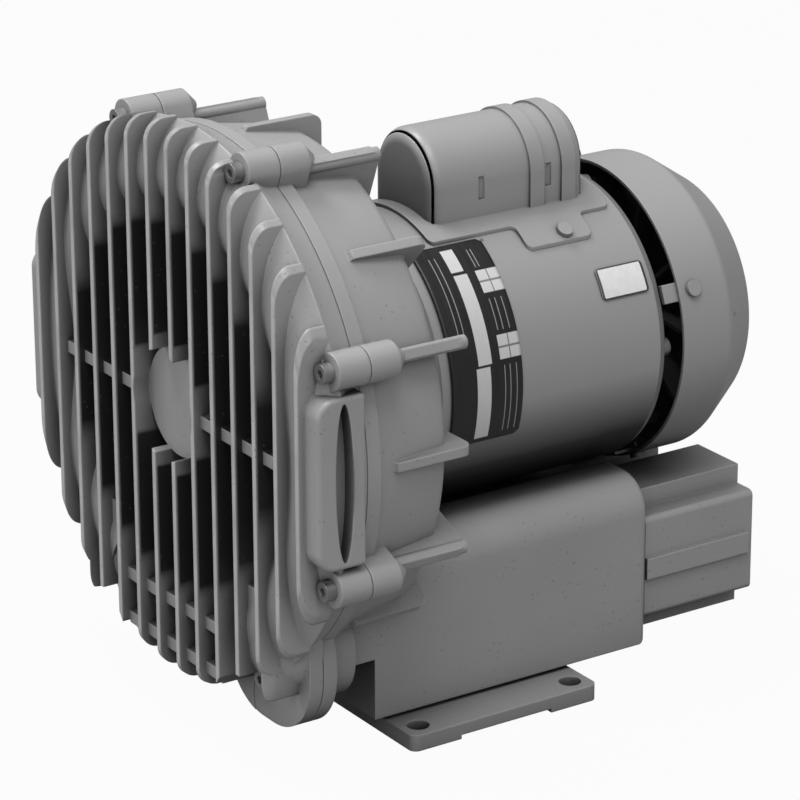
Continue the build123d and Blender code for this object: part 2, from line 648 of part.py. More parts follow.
def rear_housing():
    """Casting of drum, muffler boxes and foot that carries everything else."""
    housing = drum()
    housing += slab(casing_outline(RIM_RADIUS), HOUSING_FACE_Y, HOUSING_FACE_Y + HOUSING_FLANGE)
    for sign in PORT_SIGNS.values():
        housing += slab(lobe(sign, LOBE_REAR_SETBACK), HOUSING_FACE_Y, LOBE_REAR_Y)
    housing += rod(NECK_RADIUS, POCKET_FLOOR_Y, NECK_REAR_Y)
    housing -= rod(NECK_RADIUS - NECK_WALL, POCKET_FLOOR_Y + FLOOR_THICKNESS, NECK_REAR_Y)
    housing += rod(SEAL_BOSS_RADIUS, POCKET_FLOOR_Y, POCKET_FLOOR_Y + FLOOR_THICKNESS + SEAL_LENGTH)
    for angle in BOLT_ANGLES:
        housing += housing_boss(angle)
        if not over_port_leg(angle):
            housing += boss_rib(angle)
            housing += housing_rib(angle - BOLT_ANGLE, RIB_RADIUS)
    box = muffler_box()
    hollow = muffler_chamber() + port_duct()
    housing += box + mirror(box, Plane.YZ)
    housing += foot()
    housing -= hollow + mirror(hollow, Plane.YZ)
    housing -= rod(IMPELLER_RADIUS + IMPELLER_TIP_GAP, HOUSING_FACE_Y - 1, POCKET_FLOOR_Y)
    ring = channel_ring(CHANNEL_DEPTH, POCKET_FLOOR_Y, False)
    housing -= ring - stripper(POCKET_FLOOR_Y, POCKET_FLOOR_Y + 2 * CHANNEL_DEPTH)
    housing -= rod(SHAFT_RADIUS + 2, POCKET_FLOOR_Y - 1, NECK_REAR_Y)
    housing -= rod(SEAL_BORE_RADIUS, POCKET_FLOOR_Y + FLOOR_THICKNESS, NECK_REAR_Y)
    for angle in BOLT_ANGLES:
        x, z = polar(BOLT_CIRCLE_RADIUS, angle)
        housing -= rod(SCREW_RADIUS + THREAD_CLEARANCE, HOUSING_FACE_Y, HOUSING_FACE_Y + SCREW_REACH, x, z)
    for angle in mount_screw_angles():
        x, z = polar(MOUNT_SCREW_CIRCLE, angle)
        housing -= rod(MOUNT_SCREW_RADIUS + HOLE_CLEARANCE, POCKET_FLOOR_Y, NECK_REAR_Y, x, z)
        housing -= rod(MOUNT_SCREW_HEAD_RADIUS + HOLE_CLEARANCE, POCKET_FLOOR_Y,
                       POCKET_FLOOR_Y + MOUNT_SCREW_HEAD + 1, x, z)
    for sign in PORT_SIGNS.values():
        for x, z in extension_screw_places(sign):
            housing -= rod(EXT_SCREW_RADIUS + THREAD_CLEARANCE, BOX_REAR_Y - EXT_SCREW_BITE - 1, BOX_REAR_Y, x, z)
    return housing


# ================================================================ muffler parts
def extension_outline():
    """Stepped cross-section of a muffler extension about its own centre."""
    body = Rectangle(2 * EXT_HALF_WIDTH, 2 * EXT_SIDE_HALF_HEIGHT)
    body += Rectangle(2 * EXT_STEP_HALF_WIDTH, 2 * EXT_HALF_HEIGHT)
    body = fillet(body.vertices().group_by(Axis.X)[0] + body.vertices().group_by(Axis.X)[-1], 3.0)
    return body


def extension_screw_places(sign):
    """The four screw places of one extension."""
    return [(sign * BOX_X + dx, PORT_Z + dz) for dx in (-EXT_SCREW_X, EXT_SCREW_X)
            for dz in (-EXT_SCREW_Z, EXT_SCREW_Z)]


def muffler_extension(sign):
    """Stepped end casting with the threaded port in its rear face."""
    front_y = BOX_REAR_Y + EXT_GASKET
    body = slab(Pos(sign * BOX_X, PORT_Z) * extension_outline(), front_y, EXT_REAR_Y)
    for side in (-1, 1):
        bead_x = sign * BOX_X + side * EXT_HALF_WIDTH
        body += block((bead_x - EXT_BEAD, bead_x + EXT_BEAD), (front_y, EXT_REAR_Y - 3),
                      (PORT_Z - EXT_BEAD_HALF_HEIGHT, PORT_Z + EXT_BEAD_HALF_HEIGHT))
    body -= rod(PORT_BORE_RADIUS - PORT_STOP, front_y, EXT_REAR_Y, sign * BOX_X, PORT_Z)
    body -= rod(PORT_BORE_RADIUS, EXT_REAR_Y - PORT_BORE_DEPTH, EXT_REAR_Y, sign * BOX_X, PORT_Z)
    for x, z in extension_screw_places(sign):
        body -= rod(EXT_SCREW_RADIUS + HOLE_CLEARANCE, front_y, EXT_REAR_Y, x, z)
        body -= rod(EXT_SCREW_HEAD_RADIUS + HOLE_CLEARANCE, EXT_REAR_Y - EXT_SCREW_HEAD_HEIGHT - 1,
                    EXT_REAR_Y, x, z)
    return body


def extension_gaskets():
    """Sheet gaskets between the muffler boxes and their extensions."""
    gaskets = []
    for sign in PORT_SIGNS.values():
        outline = Pos(sign * BOX_X, PORT_Z) * (extension_outline() - Circle(PORT_BORE_RADIUS - PORT_STOP))
        for x, z in extension_screw_places(sign):
            outline -= Pos(x, z) * Circle(EXT_SCREW_RADIUS + HOLE_CLEARANCE)
        gaskets.append(slab(outline, BOX_REAR_Y, BOX_REAR_Y + EXT_GASKET))
    return Compound(gaskets)


def extension_screws():
    """Long screws that hold both extensions to the muffler boxes."""
    seat = EXT_REAR_Y - EXT_SCREW_HEAD_HEIGHT - 1
    length = seat - (BOX_REAR_Y - EXT_SCREW_BITE)
    screw = facing_back(cap_screw(EXT_SCREW_RADIUS, EXT_SCREW_HEAD_RADIUS, EXT_SCREW_HEAD_HEIGHT, 0, length), seat)
    return Compound([Pos(x, 0, z) * screw for sign in PORT_SIGNS.values()
                     for x, z in extension_screw_places(sign)])


def muffler_liner(sign):
    """Open-cell foam sleeve that lines a muffler chamber."""
    outer = box_outline(BOX_WALL + LINER_GAP) - Circle(SHELL_RADIUS + SADDLE_GAP + BOX_WALL + LINER_GAP)
    inner = box_outline(BOX_WALL + LINER_THICKNESS)
    inner -= Circle(SHELL_RADIUS + SADDLE_GAP + BOX_WALL + LINER_THICKNESS)
    sleeve = slab(outer - inner, BOX_LOW_FRONT_Y + BOX_WALL + 12, BOX_REAR_Y - BOX_REAR_WALL - LINER_GAP)
    return sleeve if sign > 0 else mirror(sleeve, Plane.YZ)


# ================================================================ impeller
def chevron_blade():
    """One V-shaped blade that reaches through the rim from side to side."""
    half = IMPELLER_WIDTH / 2
    lean = BLADE_SWEEP
    thick = BLADE_THICKNESS / 2
    section = make_face(Polyline(
        (-half, lean - thick), (0, -thick), (half, lean - thick), (half, lean + thick), (0, thick),
        (-half, lean + thick), close=True))
    plane = Plane(origin=(BLADE_ROOT_RADIUS - 1, IMPELLER_Y, 0), x_dir=(0, 1, 0), z_dir=(1, 0, 0))
    return extrude(plane * section, amount=IMPELLER_RADIUS - BLADE_ROOT_RADIUS + 6)


def impeller():
    """Double-sided side channel impeller with chevron blades in round pockets."""
    half = IMPELLER_WIDTH / 2
    rim = tube(IMPELLER_RADIUS, BLADE_ROOT_RADIUS - 4, IMPELLER_Y - half, IMPELLER_Y + half)
    envelope = rim
    pocket_radius = half - BLADE_WEB / 2
    centre = (IMPELLER_RADIUS + BLADE_ROOT_RADIUS) / 2
    reach = (IMPELLER_RADIUS - BLADE_ROOT_RADIUS) / 2
    for side in (-1, 1):
        pocket = Pos(centre, IMPELLER_Y + side * half) * Ellipse(reach + 1, pocket_radius)
        rim -= revolve(pocket, Axis.Y)
    rim -= tube(IMPELLER_RADIUS + 1, IMPELLER_RADIUS - 4, IMPELLER_Y - half - 1, IMPELLER_Y - BLADE_WEB / 2)
    rim -= tube(IMPELLER_RADIUS + 1, IMPELLER_RADIUS - 4, IMPELLER_Y + BLADE_WEB / 2, IMPELLER_Y + half + 1)
    blades = [around(chevron_blade(), 360 / BLADE_COUNT * index) for index in range(BLADE_COUNT)]
    wheel = rim + (Compound(blades) & envelope)
    wheel += rod(BLADE_ROOT_RADIUS - 3, IMPELLER_Y - IMPELLER_DISC / 2, IMPELLER_Y + IMPELLER_DISC / 2)
    wheel += rod(IMPELLER_HUB_RADIUS, IMPELLER_Y - half, IMPELLER_Y - half + IMPELLER_HUB_LENGTH - 6)
    for index in range(BALANCE_HOLE_COUNT):
        x, z = polar(BALANCE_HOLE_CIRCLE, 360 / BALANCE_HOLE_COUNT * index + 15)
        wheel -= rod(BALANCE_HOLE_RADIUS, IMPELLER_Y - half, IMPELLER_Y + half, x, z)
    wheel -= rod(SHAFT_RADIUS + RUNNING_CLEARANCE, IMPELLER_Y - half - 1, IMPELLER_Y + half + IMPELLER_HUB_LENGTH)
    return wheel - key_space(RUNNING_CLEARANCE)


def key_space(clearance=0.0):
    """Room for the key that locks the impeller to the shaft."""
    half = KEY_WIDTH / 2 + clearance
    top = SHAFT_RADIUS + KEY_HEIGHT / 2 + clearance
    y_front = IMPELLER_Y - IMPELLER_WIDTH / 2 + 2
    y_back = y_front + IMPELLER_WIDTH - 4
    grow = 0.0 if clearance == 0 else 10.0
    return block((-half, half), (y_front - grow, y_back + grow),
                 (SHAFT_RADIUS - KEY_HEIGHT / 2 - clearance, top))


def impeller_key():
    """Square key between shaft and impeller."""
    return key_space()


def impeller_washer():
    """Plain washer under the impeller nut."""
    seat = IMPELLER_Y - IMPELLER_WIDTH / 2
    return tube(WASHER_RADIUS, SHAFT_THREAD_RADIUS + 0.2, seat - WASHER_THICKNESS, seat)


def impeller_nut():
    """Hexagon nut that clamps the impeller on the shaft."""
    seat = IMPELLER_Y - IMPELLER_WIDTH / 2 - WASHER_THICKNESS
    hexagon = RegularPolygon(NUT_ACROSS_FLATS / 2, 6, major_radius=False)
    return slab(hexagon - Circle(SHAFT_THREAD_RADIUS + THREAD_CLEARANCE), seat - NUT_HEIGHT, seat)


def shaft():
    """Stepped shaft from the impeller thread to the fan seat."""
    seat = IMPELLER_Y - IMPELLER_WIDTH / 2
    core_front = FRONT_BEARING_Y + BEARING_WIDTH
    body = rod(SHAFT_THREAD_RADIUS, SHAFT_FRONT_Y, seat)
    body += rod(SHAFT_RADIUS, seat, FRONT_BEARING_Y)
    body += rod(BEARING_BORE_RADIUS, FRONT_BEARING_Y, REAR_BEARING_Y + BEARING_WIDTH)
    body += rod(SHAFT_CORE_RADIUS, core_front, REAR_BEARING_Y)
    body += rod(SHAFT_FAN_RADIUS, REAR_BEARING_Y + BEARING_WIDTH, SHAFT_REAR_Y)
    body = chamfer(body.faces().sort_by(Axis.Y)[0].edges(), 1.0)
    body = chamfer(body.faces().sort_by(Axis.Y)[-1].edges(), 1.0)
    return body - key_space()


# ================================================================ motor
def bearing(y_front, race):
    """One race or the ball set of a deep-groove bearing, by name."""
    middle = y_front + BEARING_WIDTH / 2
    pitch = (BEARING_OUTER_RADIUS + BEARING_BORE_RADIUS) / 2
    groove = revolve(Pos(pitch, middle) * Circle(BALL_RADIUS + 0.05), Axis.Y)
    if race == "outer":
        ring = tube(BEARING_OUTER_RADIUS - 0.02, pitch + BEARING_GROOVE, y_front, y_front + BEARING_WIDTH)
        return ring - groove
    if race == "inner":
        ring = tube(pitch - BEARING_GROOVE, BEARING_BORE_RADIUS + 0.01, y_front, y_front + BEARING_WIDTH)
        return ring - groove
    balls = [around(Pos(pitch, middle, 0) * Sphere(BALL_RADIUS), 360 / BALL_COUNT * index)
             for index in range(BALL_COUNT)]
    return Compound(balls)


def shaft_seal():
    """Lip seal in the housing bore behind the impeller."""
    front = POCKET_FLOOR_Y + FLOOR_THICKNESS
    return turned((SEAL_BORE_RADIUS - 0.02, front), (SEAL_BORE_RADIUS - 0.02, front + SEAL_LENGTH - 1),
                  (SEAL_BORE_RADIUS - 2, front + SEAL_LENGTH - 1), (SEAL_BORE_RADIUS - 2, front + 2),
                  (SHAFT_RADIUS + 3, front + 2), (SHAFT_RADIUS + RUNNING_CLEARANCE, front + 4),
                  (SHAFT_RADIUS + RUNNING_CLEARANCE, front + 3), (SHAFT_RADIUS + 2.2, front))


def front_end_bell():
    """Front end shield of the motor, registered in the neck of the rear housing."""
    spigot = NECK_RADIUS - NECK_WALL - 0.05
    boss = BEARING_OUTER_RADIUS + BEARING_BOSS_WALL
    front = NECK_REAR_Y
    bell = tube(SHELL_RADIUS, 55.0, front, SHELL_FRONT_Y)
    bell += tube(SHELL_BORE_RADIUS - 0.05, 58.0, SHELL_FRONT_Y, SHELL_FRONT_Y + BELL_LIP)
    bell += tube(spigot, SHAFT_RADIUS + 3, front - 3, front + BELL_FLOOR)
    bell += tube(boss, BEARING_OUTER_RADIUS, front, FRONT_BEARING_Y + BEARING_WIDTH)
    bell -= rod(BEARING_OUTER_RADIUS, FRONT_BEARING_Y, SHELL_FRONT_Y + BELL_LIP)
    for index in range(8):
        web = block((boss - 2, 57), (front + 2, SHELL_FRONT_Y - 1), (-2, 2))
        bell += around(web, 45 * index)
    for angle in mount_screw_angles():
        x, z = polar(MOUNT_SCREW_CIRCLE, angle)
        bell -= rod(MOUNT_SCREW_RADIUS + THREAD_CLEARANCE, front, front + MOUNT_SCREW_BITE, x, z)
    for angle in through_bolt_angles():
        x, z = polar(THROUGH_BOLT_CIRCLE, angle)
        bell -= rod(THROUGH_BOLT_RADIUS + THREAD_CLEARANCE, front + 3, SHELL_FRONT_Y + BELL_LIP, x, z)
    return bell


def motor_shell():
    """Rolled steel shell round the stator."""
    return tube(SHELL_RADIUS, SHELL_BORE_RADIUS, SHELL_FRONT_Y, SHELL_REAR_Y)


def stator_core():
    """Laminated stator with open slots and clearance for the through bolts."""
    core = tube(SHELL_BORE_RADIUS - 0.05, STATOR_BORE_RADIUS, STATOR_FRONT_Y, STATOR_REAR_Y)
    half = STATOR_SLOT_WIDTH / 2
    for index in range(STATOR_SLOT_COUNT):
        slot = block((STATOR_BORE_RADIUS - 1, STATOR_BORE_RADIUS + STATOR_SLOT_DEPTH),
                     (STATOR_FRONT_Y - 1, STATOR_REAR_Y + 1), (-half, half))
        core -= around(slot, 360 / STATOR_SLOT_COUNT * index)
    for angle in through_bolt_angles():
        x, z = polar(THROUGH_BOLT_CIRCLE, angle)
        core -= rod(THROUGH_BOLT_RADIUS + 0.4, STATOR_FRONT_Y, STATOR_REAR_Y, x, z)
    return core


def stator_winding():
    """Copper winding: two rounded coil heads joined by the coil sides in the slots."""
    heads = []
    for y in (STATOR_FRONT_Y - COIL_LENGTH, STATOR_REAR_Y):
        head = tube(COIL_OUTER_RADIUS, COIL_INNER_RADIUS, y, y + COIL_LENGTH)
        heads.append(fillet(head.edges().filter_by(GeomType.CIRCLE), 3.0))
    winding = heads[0] + heads[1]
    half = STATOR_SLOT_WIDTH / 2 - 0.4
    for index in range(STATOR_SLOT_COUNT):
        side = block((COIL_INNER_RADIUS, STATOR_BORE_RADIUS + STATOR_SLOT_DEPTH - 0.6),
                     (STATOR_FRONT_Y - 4, STATOR_REAR_Y + 4), (-half, half))
        winding += around(side, 360 / STATOR_SLOT_COUNT * index)
    return winding


def rotor_core():
    """Squirrel-cage rotor: core, end rings and the small vanes cast on them."""
    outer = STATOR_BORE_RADIUS - AIR_GAP
    front = STATOR_FRONT_Y - ROTOR_OVERHANG
    back = STATOR_REAR_Y - ROTOR_OVERHANG
    core = tube(outer, SHAFT_CORE_RADIUS, front, back)
    ring_outer = outer - 1.5
    core += tube(ring_outer, ring_outer - 12, front - ROTOR_RING_LENGTH, back + ROTOR_RING_LENGTH)
    for index in range(ROTOR_VANE_COUNT):
        vane = block((ring_outer - 11, ring_outer - 1), (front - ROTOR_RING_LENGTH - 6, front), (-1.5, 1.5))
        core += around(vane, 360 / ROTOR_VANE_COUNT * index)
    return core


def rear_bell_cone():
    """Conical wall of the rear end shield with the boss of its bearing."""
    boss = BEARING_OUTER_RADIUS + BEARING_BOSS_WALL
    bearing_rear = REAR_BEARING_Y + BEARING_WIDTH
    return turned((REAR_BELL_RADIUS, SHELL_REAR_Y + 3), (REAR_BELL_RADIUS, REAR_BELL_REAR_Y - 4),
                  (boss, bearing_rear + 2), (SHAFT_FAN_RADIUS + 3, bearing_rear + 2),
                  (SHAFT_FAN_RADIUS + 3, bearing_rear), (BEARING_OUTER_RADIUS, bearing_rear),
                  (BEARING_OUTER_RADIUS, REAR_BEARING_Y), (boss, REAR_BEARING_Y),
                  (REAR_BELL_RADIUS - 6, SHELL_REAR_Y + 3))


def rear_end_bell():
    """Rear end shield of the motor."""
    bearing_rear = REAR_BEARING_Y + BEARING_WIDTH
    bell = tube(SHELL_BORE_RADIUS - 0.05, 58.0, SHELL_REAR_Y - BELL_LIP, SHELL_REAR_Y)
    bell += tube(SHELL_RADIUS - 1, 55.0, SHELL_REAR_Y, SHELL_REAR_Y + 3)
    bell += rear_bell_cone()
    for angle in through_bolt_angles():
        x, z = polar(THROUGH_BOLT_CIRCLE, angle)
        bell -= rod(THROUGH_BOLT_RADIUS + HOLE_CLEARANCE, SHELL_REAR_Y - BELL_LIP, bearing_rear, x, z)
        bell -= rod(THROUGH_BOLT_HEAD_RADIUS + HOLE_CLEARANCE, SHELL_REAR_Y + 4, bearing_rear, x, z)
    return bell


def through_bolt_angles():
    """Angles of the bolts that clamp the two end shields on the shell."""
    return [90 * index for index in range(4)]


def through_bolts():
    """Four long bolts through the motor."""
    seat = SHELL_REAR_Y + 4
    length = seat - (NECK_REAR_Y + 4)
    bolt = facing_back(cap_screw(THROUGH_BOLT_RADIUS, THROUGH_BOLT_HEAD_RADIUS, THROUGH_BOLT_HEAD, 0, length), seat)
    places = [polar(THROUGH_BOLT_CIRCLE, angle) for angle in through_bolt_angles()]
    return Compound([Pos(x, 0, z) * bolt for x, z in places])


def mount_screw_angles():
    """Angles of the screws that hold the motor to the housing neck."""
    return [45 + 90 * index for index in range(4)]


def motor_mount_screws():
    """Four screws from behind the impeller into the front end shield."""
    seat = POCKET_FLOOR_Y + MOUNT_SCREW_HEAD + 1
    screw = cap_screw(MOUNT_SCREW_RADIUS, MOUNT_SCREW_HEAD_RADIUS, MOUNT_SCREW_HEAD, seat,
                      NECK_REAR_Y + MOUNT_SCREW_BITE - 1)
    places = [polar(MOUNT_SCREW_CIRCLE, angle) for angle in mount_screw_angles()]
    return Compound([Pos(x, 0, z) * screw for x, z in places])


def preload_washer():
    """Wave spring washer that loads the rear bearing."""
    front = REAR_BEARING_Y - 1.2
    return tube(BEARING_OUTER_RADIUS - 0.5, BEARING_OUTER_RADIUS - 4, front, front + 1.0)


# ================================================================ centrifugal switch
def switch_base():
    """Pressed plate that turns with the shaft, with lugs and pins for the two weights."""
    plate = tube(SWITCH_BASE_RADIUS, SHAFT_CORE_RADIUS, SWITCH_BASE_Y, SWITCH_PIVOT_Y - SWITCH_PIVOT_RISE)
    for side in (-1, 1):
        z = side * SWITCH_PIVOT_Z
        for edge in (-1, 1):
            x = edge * (SWITCH_WEIGHT_WIDTH / 2 + 1.3)
            plate += block((x - 0.8, x + 0.8), (SWITCH_BASE_Y, SWITCH_PIVOT_Y + 2.5), (z - 2.5, z + 2.5))
        plate += Pos(0, SWITCH_PIVOT_Y, z) * Rot(0, 90, 0) * Cylinder(SWITCH_PIN_RADIUS, SWITCH_WEIGHT_WIDTH + 3)
    return plate


def switch_weight(side):
    """Bell-crank weight: its mass lies outside the pin, its finger reaches into the collar."""
    half = SWITCH_WEIGHT_WIDTH / 2
    eye = Pos(0, SWITCH_PIVOT_Y, SWITCH_PIVOT_Z) * Rot(0, 90, 0) * Cylinder(2.2, SWITCH_WEIGHT_WIDTH)
    mass = block((-half, half), (SWITCH_PIVOT_Y - SWITCH_PIVOT_RISE + 0.8, SWITCH_PIVOT_Y),
                 (SWITCH_PIVOT_Z, SWITCH_PIVOT_Z + 5.0))
    finger = block((-2.0, 2.0), (SWITCH_PIVOT_Y - 0.6, SWITCH_PIVOT_Y + 0.6),
                   (SWITCH_PIVOT_Z - SWITCH_FINGER, SWITCH_PIVOT_Z))
    pin_hole = Pos(0, SWITCH_PIVOT_Y, SWITCH_PIVOT_Z) * Rot(0, 90, 0)
    weight = eye + mass + finger - pin_hole * Cylinder(SWITCH_PIN_RADIUS + RUNNING_CLEARANCE, 20)
    return weight if side > 0 else mirror(weight, Plane.XY)


def switch_collar():
    """Grooved insulating collar that the weights draw forward to open the start switch."""
    half_groove = 1.5
    flange = 1.2
    bore = SHAFT_CORE_RADIUS + RUNNING_CLEARANCE
    hub = SWITCH_COLLAR_RADIUS - 3.5
    back = SWITCH_PIVOT_Y + half_groove + flange
    collar = tube(hub, bore, SWITCH_PIVOT_Y - half_groove - flange, back)
    collar += tube(SWITCH_COLLAR_RADIUS, bore, SWITCH_PIVOT_Y - half_groove - flange, SWITCH_PIVOT_Y - half_groove)
    return collar + tube(SWITCH_COLLAR_RADIUS, bore, SWITCH_PIVOT_Y + half_groove, back)


def start_switch():
    """Fixed contact board that stands on the inside of the rear end shield."""
    front = SWITCH_PIVOT_Y + 3.2
    back = front + SWITCH_PLATE_THICKNESS
    board = block((-26, 26), (front, back), (14, 42))
    for x in (-18, 18):
        board += block((x - 4, x + 4), (back, REAR_BEARING_Y), (26, 36))
    return board - rear_bell_cone()


# ================================================================ fan and cowl
def external_fan():
    """Straight-bladed cooling fan that works in either direction."""
    disc_back = FAN_FRONT_Y + FAN_BLADE_DEPTH
    fan = rod(FAN_RADIUS - 6, disc_back - FAN_DISC, disc_back)
    fan += rod(FAN_HUB_RADIUS, FAN_FRONT_Y, disc_back)
    for index in range(FAN_BLADE_COUNT):
        outline = Polyline((FAN_HUB_RADIUS - 1, disc_back - 1), (FAN_HUB_RADIUS - 1, FAN_FRONT_Y + 6),
                           (FAN_RADIUS - 12, FAN_FRONT_Y), (FAN_RADIUS, FAN_FRONT_Y),
                           (FAN_RADIUS, disc_back - 4), (FAN_RADIUS - 7, disc_back), close=True)
        blade = extrude(make_face(outline), amount=FAN_BLADE_THICKNESS / 2, both=True)
        fan += around(blade, 360 / FAN_BLADE_COUNT * index)
    return fan - rod(SHAFT_FAN_RADIUS + 0.02, FAN_FRONT_Y - 1, disc_back + 1)


def fan_clip():
    """Push-on ring that keeps the fan on the shaft."""
    front = FAN_FRONT_Y + FAN_BLADE_DEPTH
    return tube(SHAFT_FAN_RADIUS + 4, SHAFT_FAN_RADIUS + 0.02, front, front + 1.2)


def fan_cowl():
    """Spun cowl with a round shoulder and a ring grille at the back."""
    cone = (COWL_REAR_RADIUS, COWL_REAR_Y)
    outer = make_face(Polyline((0, COWL_RIM_Y), (COWL_RADIUS, COWL_RIM_Y), (COWL_RADIUS, COWL_SHOULDER_Y),
                               cone, (0, COWL_REAR_Y), close=True))
    solid = revolve(outer, Axis.Y)
    shoulder = solid.edges().filter_by(GeomType.CIRCLE).sort_by(Axis.Y)
    solid = fillet([shoulder[-1], shoulder[-2]], COWL_SHOULDER_ROUND)
    inner = make_face(Polyline((0, COWL_RIM_Y - 1), (COWL_RADIUS - COWL_WALL, COWL_RIM_Y - 1),
                               (COWL_RADIUS - COWL_WALL, COWL_SHOULDER_Y),
                               (COWL_REAR_RADIUS - COWL_WALL, COWL_REAR_Y - COWL_WALL),
                               (0, COWL_REAR_Y - COWL_WALL), close=True))
    hollow = revolve(inner, Axis.Y)
    rounds = hollow.edges().filter_by(GeomType.CIRCLE).sort_by(Axis.Y)
    hollow = fillet([rounds[-1], rounds[-2]], COWL_SHOULDER_ROUND - COWL_WALL)
    cowl = solid - hollow
    rings = None
    for index in range(GRILLE_RING_COUNT):
        inner_r = GRILLE_INNER_RADIUS + index * GRILLE_RING_PITCH
        ring = tube(inner_r + GRILLE_SLOT, inner_r, COWL_REAR_Y - COWL_WALL - 1, COWL_REAR_Y + 1)
        rings = ring if rings is None else rings + ring
    for index in range(GRILLE_SPOKES):
        half = GRILLE_SPOKE_WIDTH / 2
        spoke = block((0, COWL_RADIUS), (COWL_REAR_Y - 5, COWL_REAR_Y + 2), (-half, half))
        rings -= around(spoke, 45 + 360 / GRILLE_SPOKES * index)
    for angle in cowl_bracket_angles():
        hole = Pos(COWL_RADIUS, COWL_RIM_Y + 8, 0) * Rot(0, 90, 0) * Cylinder(COWL_SCREW_RADIUS + HOLE_CLEARANCE, 8)
        cowl -= around(hole, angle)
    return cowl - rings


def cowl_bracket_angles():
    """Angles of the brackets that carry the cowl."""
    return [360 / COWL_BRACKET_COUNT * index + 22 for index in range(COWL_BRACKET_COUNT)]


def cowl_brackets():
    """Bent straps from the rear end shield to the inside of the cowl."""
    outer = COWL_RADIUS - COWL_WALL - 0.02
    half = COWL_BRACKET_WIDTH / 2
    strap = block((outer - COWL_BRACKET_THICKNESS, outer), (SHELL_REAR_Y + 4, COWL_RIM_Y + 14), (-half, half))
    foot_strap = block((REAR_BELL_RADIUS, outer), (SHELL_REAR_Y + 4, SHELL_REAR_Y + 4 + COWL_BRACKET_THICKNESS),
                       (-half, half))
    bracket = (strap + foot_strap) & tube(outer, REAR_BELL_RADIUS, SHELL_REAR_Y, COWL_REAR_Y)
    hole = Pos(outer, COWL_RIM_Y + 8, 0) * Rot(0, 90, 0) * Cylinder(COWL_SCREW_RADIUS + THREAD_CLEARANCE, 10)
    return Compound([around(bracket - hole, angle) for angle in cowl_bracket_angles()])


def cowl_screws():
    """Pan head screws through the cowl into its brackets."""
    head = Cylinder(COWL_SCREW_HEAD_RADIUS, COWL_SCREW_HEAD, align=(Align.CENTER, Align.CENTER, Align.MIN))
    shank = Cylinder(COWL_SCREW_RADIUS, COWL_WALL + 4, align=(Align.CENTER, Align.CENTER, Align.MAX))
    screw = Pos(COWL_RADIUS, COWL_RIM_Y + 8, 0) * Rot(0, 90, 0) * (head + shank)
    return Compound([around(screw, angle) for angle in cowl_bracket_angles()])


# ================================================================ capacitor
def hump_outline(inset=0.0):
    """Round-topped cross-section of the capacitor cover."""
    half = HUMP_HALF_WIDTH - inset
    centre_z = HUMP_TOP_Z - HUMP_HALF_WIDTH
    return Pos(0, centre_z) * Circle(half) + Pos(0, centre_z / 2) * Rectangle(2 * half, centre_z)


def capacitor_cover():
    """Drawn steel cover over the capacitor, with its flange saddled on the shell."""
    solid = slab(hump_outline(), HUMP_FRONT_Y, HUMP_REAR_Y)
    ends = solid.faces().sort_by(Axis.Y)
    top = [edge for face in (ends[0], ends[-1]) for edge in face.edges() if edge.center().Z > 20]
    solid = fillet(top, HUMP_ROUND)
    hollow = slab(hump_outline(HUMP_WALL), HUMP_FRONT_Y + HUMP_WALL, HUMP_REAR_Y - HUMP_WALL)
    for y in HUMP_BAND_YS:
        band = slab(hump_outline(-HUMP_BAND_HEIGHT), y - HUMP_BAND_WIDTH / 2, y + HUMP_BAND_WIDTH / 2)
        solid += band
    cover = solid - hollow
    for y in HUMP_DIMPLE_YS:
        for side in (-1, 1):
            dimple = Pos(side * (HUMP_HALF_WIDTH + 0.6), y, HUMP_DIMPLE_Z)
            cover -= dimple * Cylinder(HUMP_DIMPLE_RADIUS, 2 * HUMP_DIMPLE_HALF_HEIGHT)
    cover -= rod(SHELL_RADIUS + FLANGE_THICKNESS, HUMP_FRONT_Y - 1, HUMP_REAR_Y + 1)
    flange = tube(SHELL_RADIUS + FLANGE_THICKNESS, SHELL_RADIUS, HUMP_FRONT_Y - FLANGE_MARGIN,
                  HUMP_REAR_Y + FLANGE_MARGIN)
    blank = block((-FLANGE_HALF_WIDTH, FLANGE_HALF_WIDTH), (HUMP_FRONT_Y - FLANGE_MARGIN, HUMP_REAR_Y + FLANGE_MARGIN),
                  (0, HUMP_TOP_Z))
    blank += block((-FLANGE_EAR_HALF_WIDTH, FLANGE_EAR_HALF_WIDTH), FLANGE_EAR_YS, (0, HUMP_TOP_Z))
    flange &= fillet(blank.edges().filter_by(Axis.Z), 3.0)
    flange -= slab(hump_outline(HUMP_WALL), HUMP_FRONT_Y + HUMP_WALL, HUMP_REAR_Y - HUMP_WALL)
    for side in (-1, 1):
        flange -= flange_screw_place(side) * Cylinder(COWL_SCREW_RADIUS + HOLE_CLEARANCE, 20)
    return cover + flange


def flange_screw_place(side):
    """Place of a flange screw, its axis square to the shell."""
    angle = math.degrees(math.asin(FLANGE_SCREW_X / SHELL_RADIUS))
    return Pos(0, FLANGE_SCREW_Y, 0) * Rot(0, side * angle, 0) * Pos(0, 0, SHELL_RADIUS)


def capacitor_cover_screws():
    """Two screws that hold the capacitor cover to the shell."""
    head = Cylinder(COWL_SCREW_HEAD_RADIUS, COWL_SCREW_HEAD, align=(Align.CENTER, Align.CENTER, Align.MIN))
    shank = Cylinder(COWL_SCREW_RADIUS, FLANGE_THICKNESS, align=(Align.CENTER, Align.CENTER, Align.MAX))
    screw = Pos(0, 0, FLANGE_THICKNESS) * (head + shank)
    return Compound([flange_screw_place(side) * screw for side in (-1, 1)])


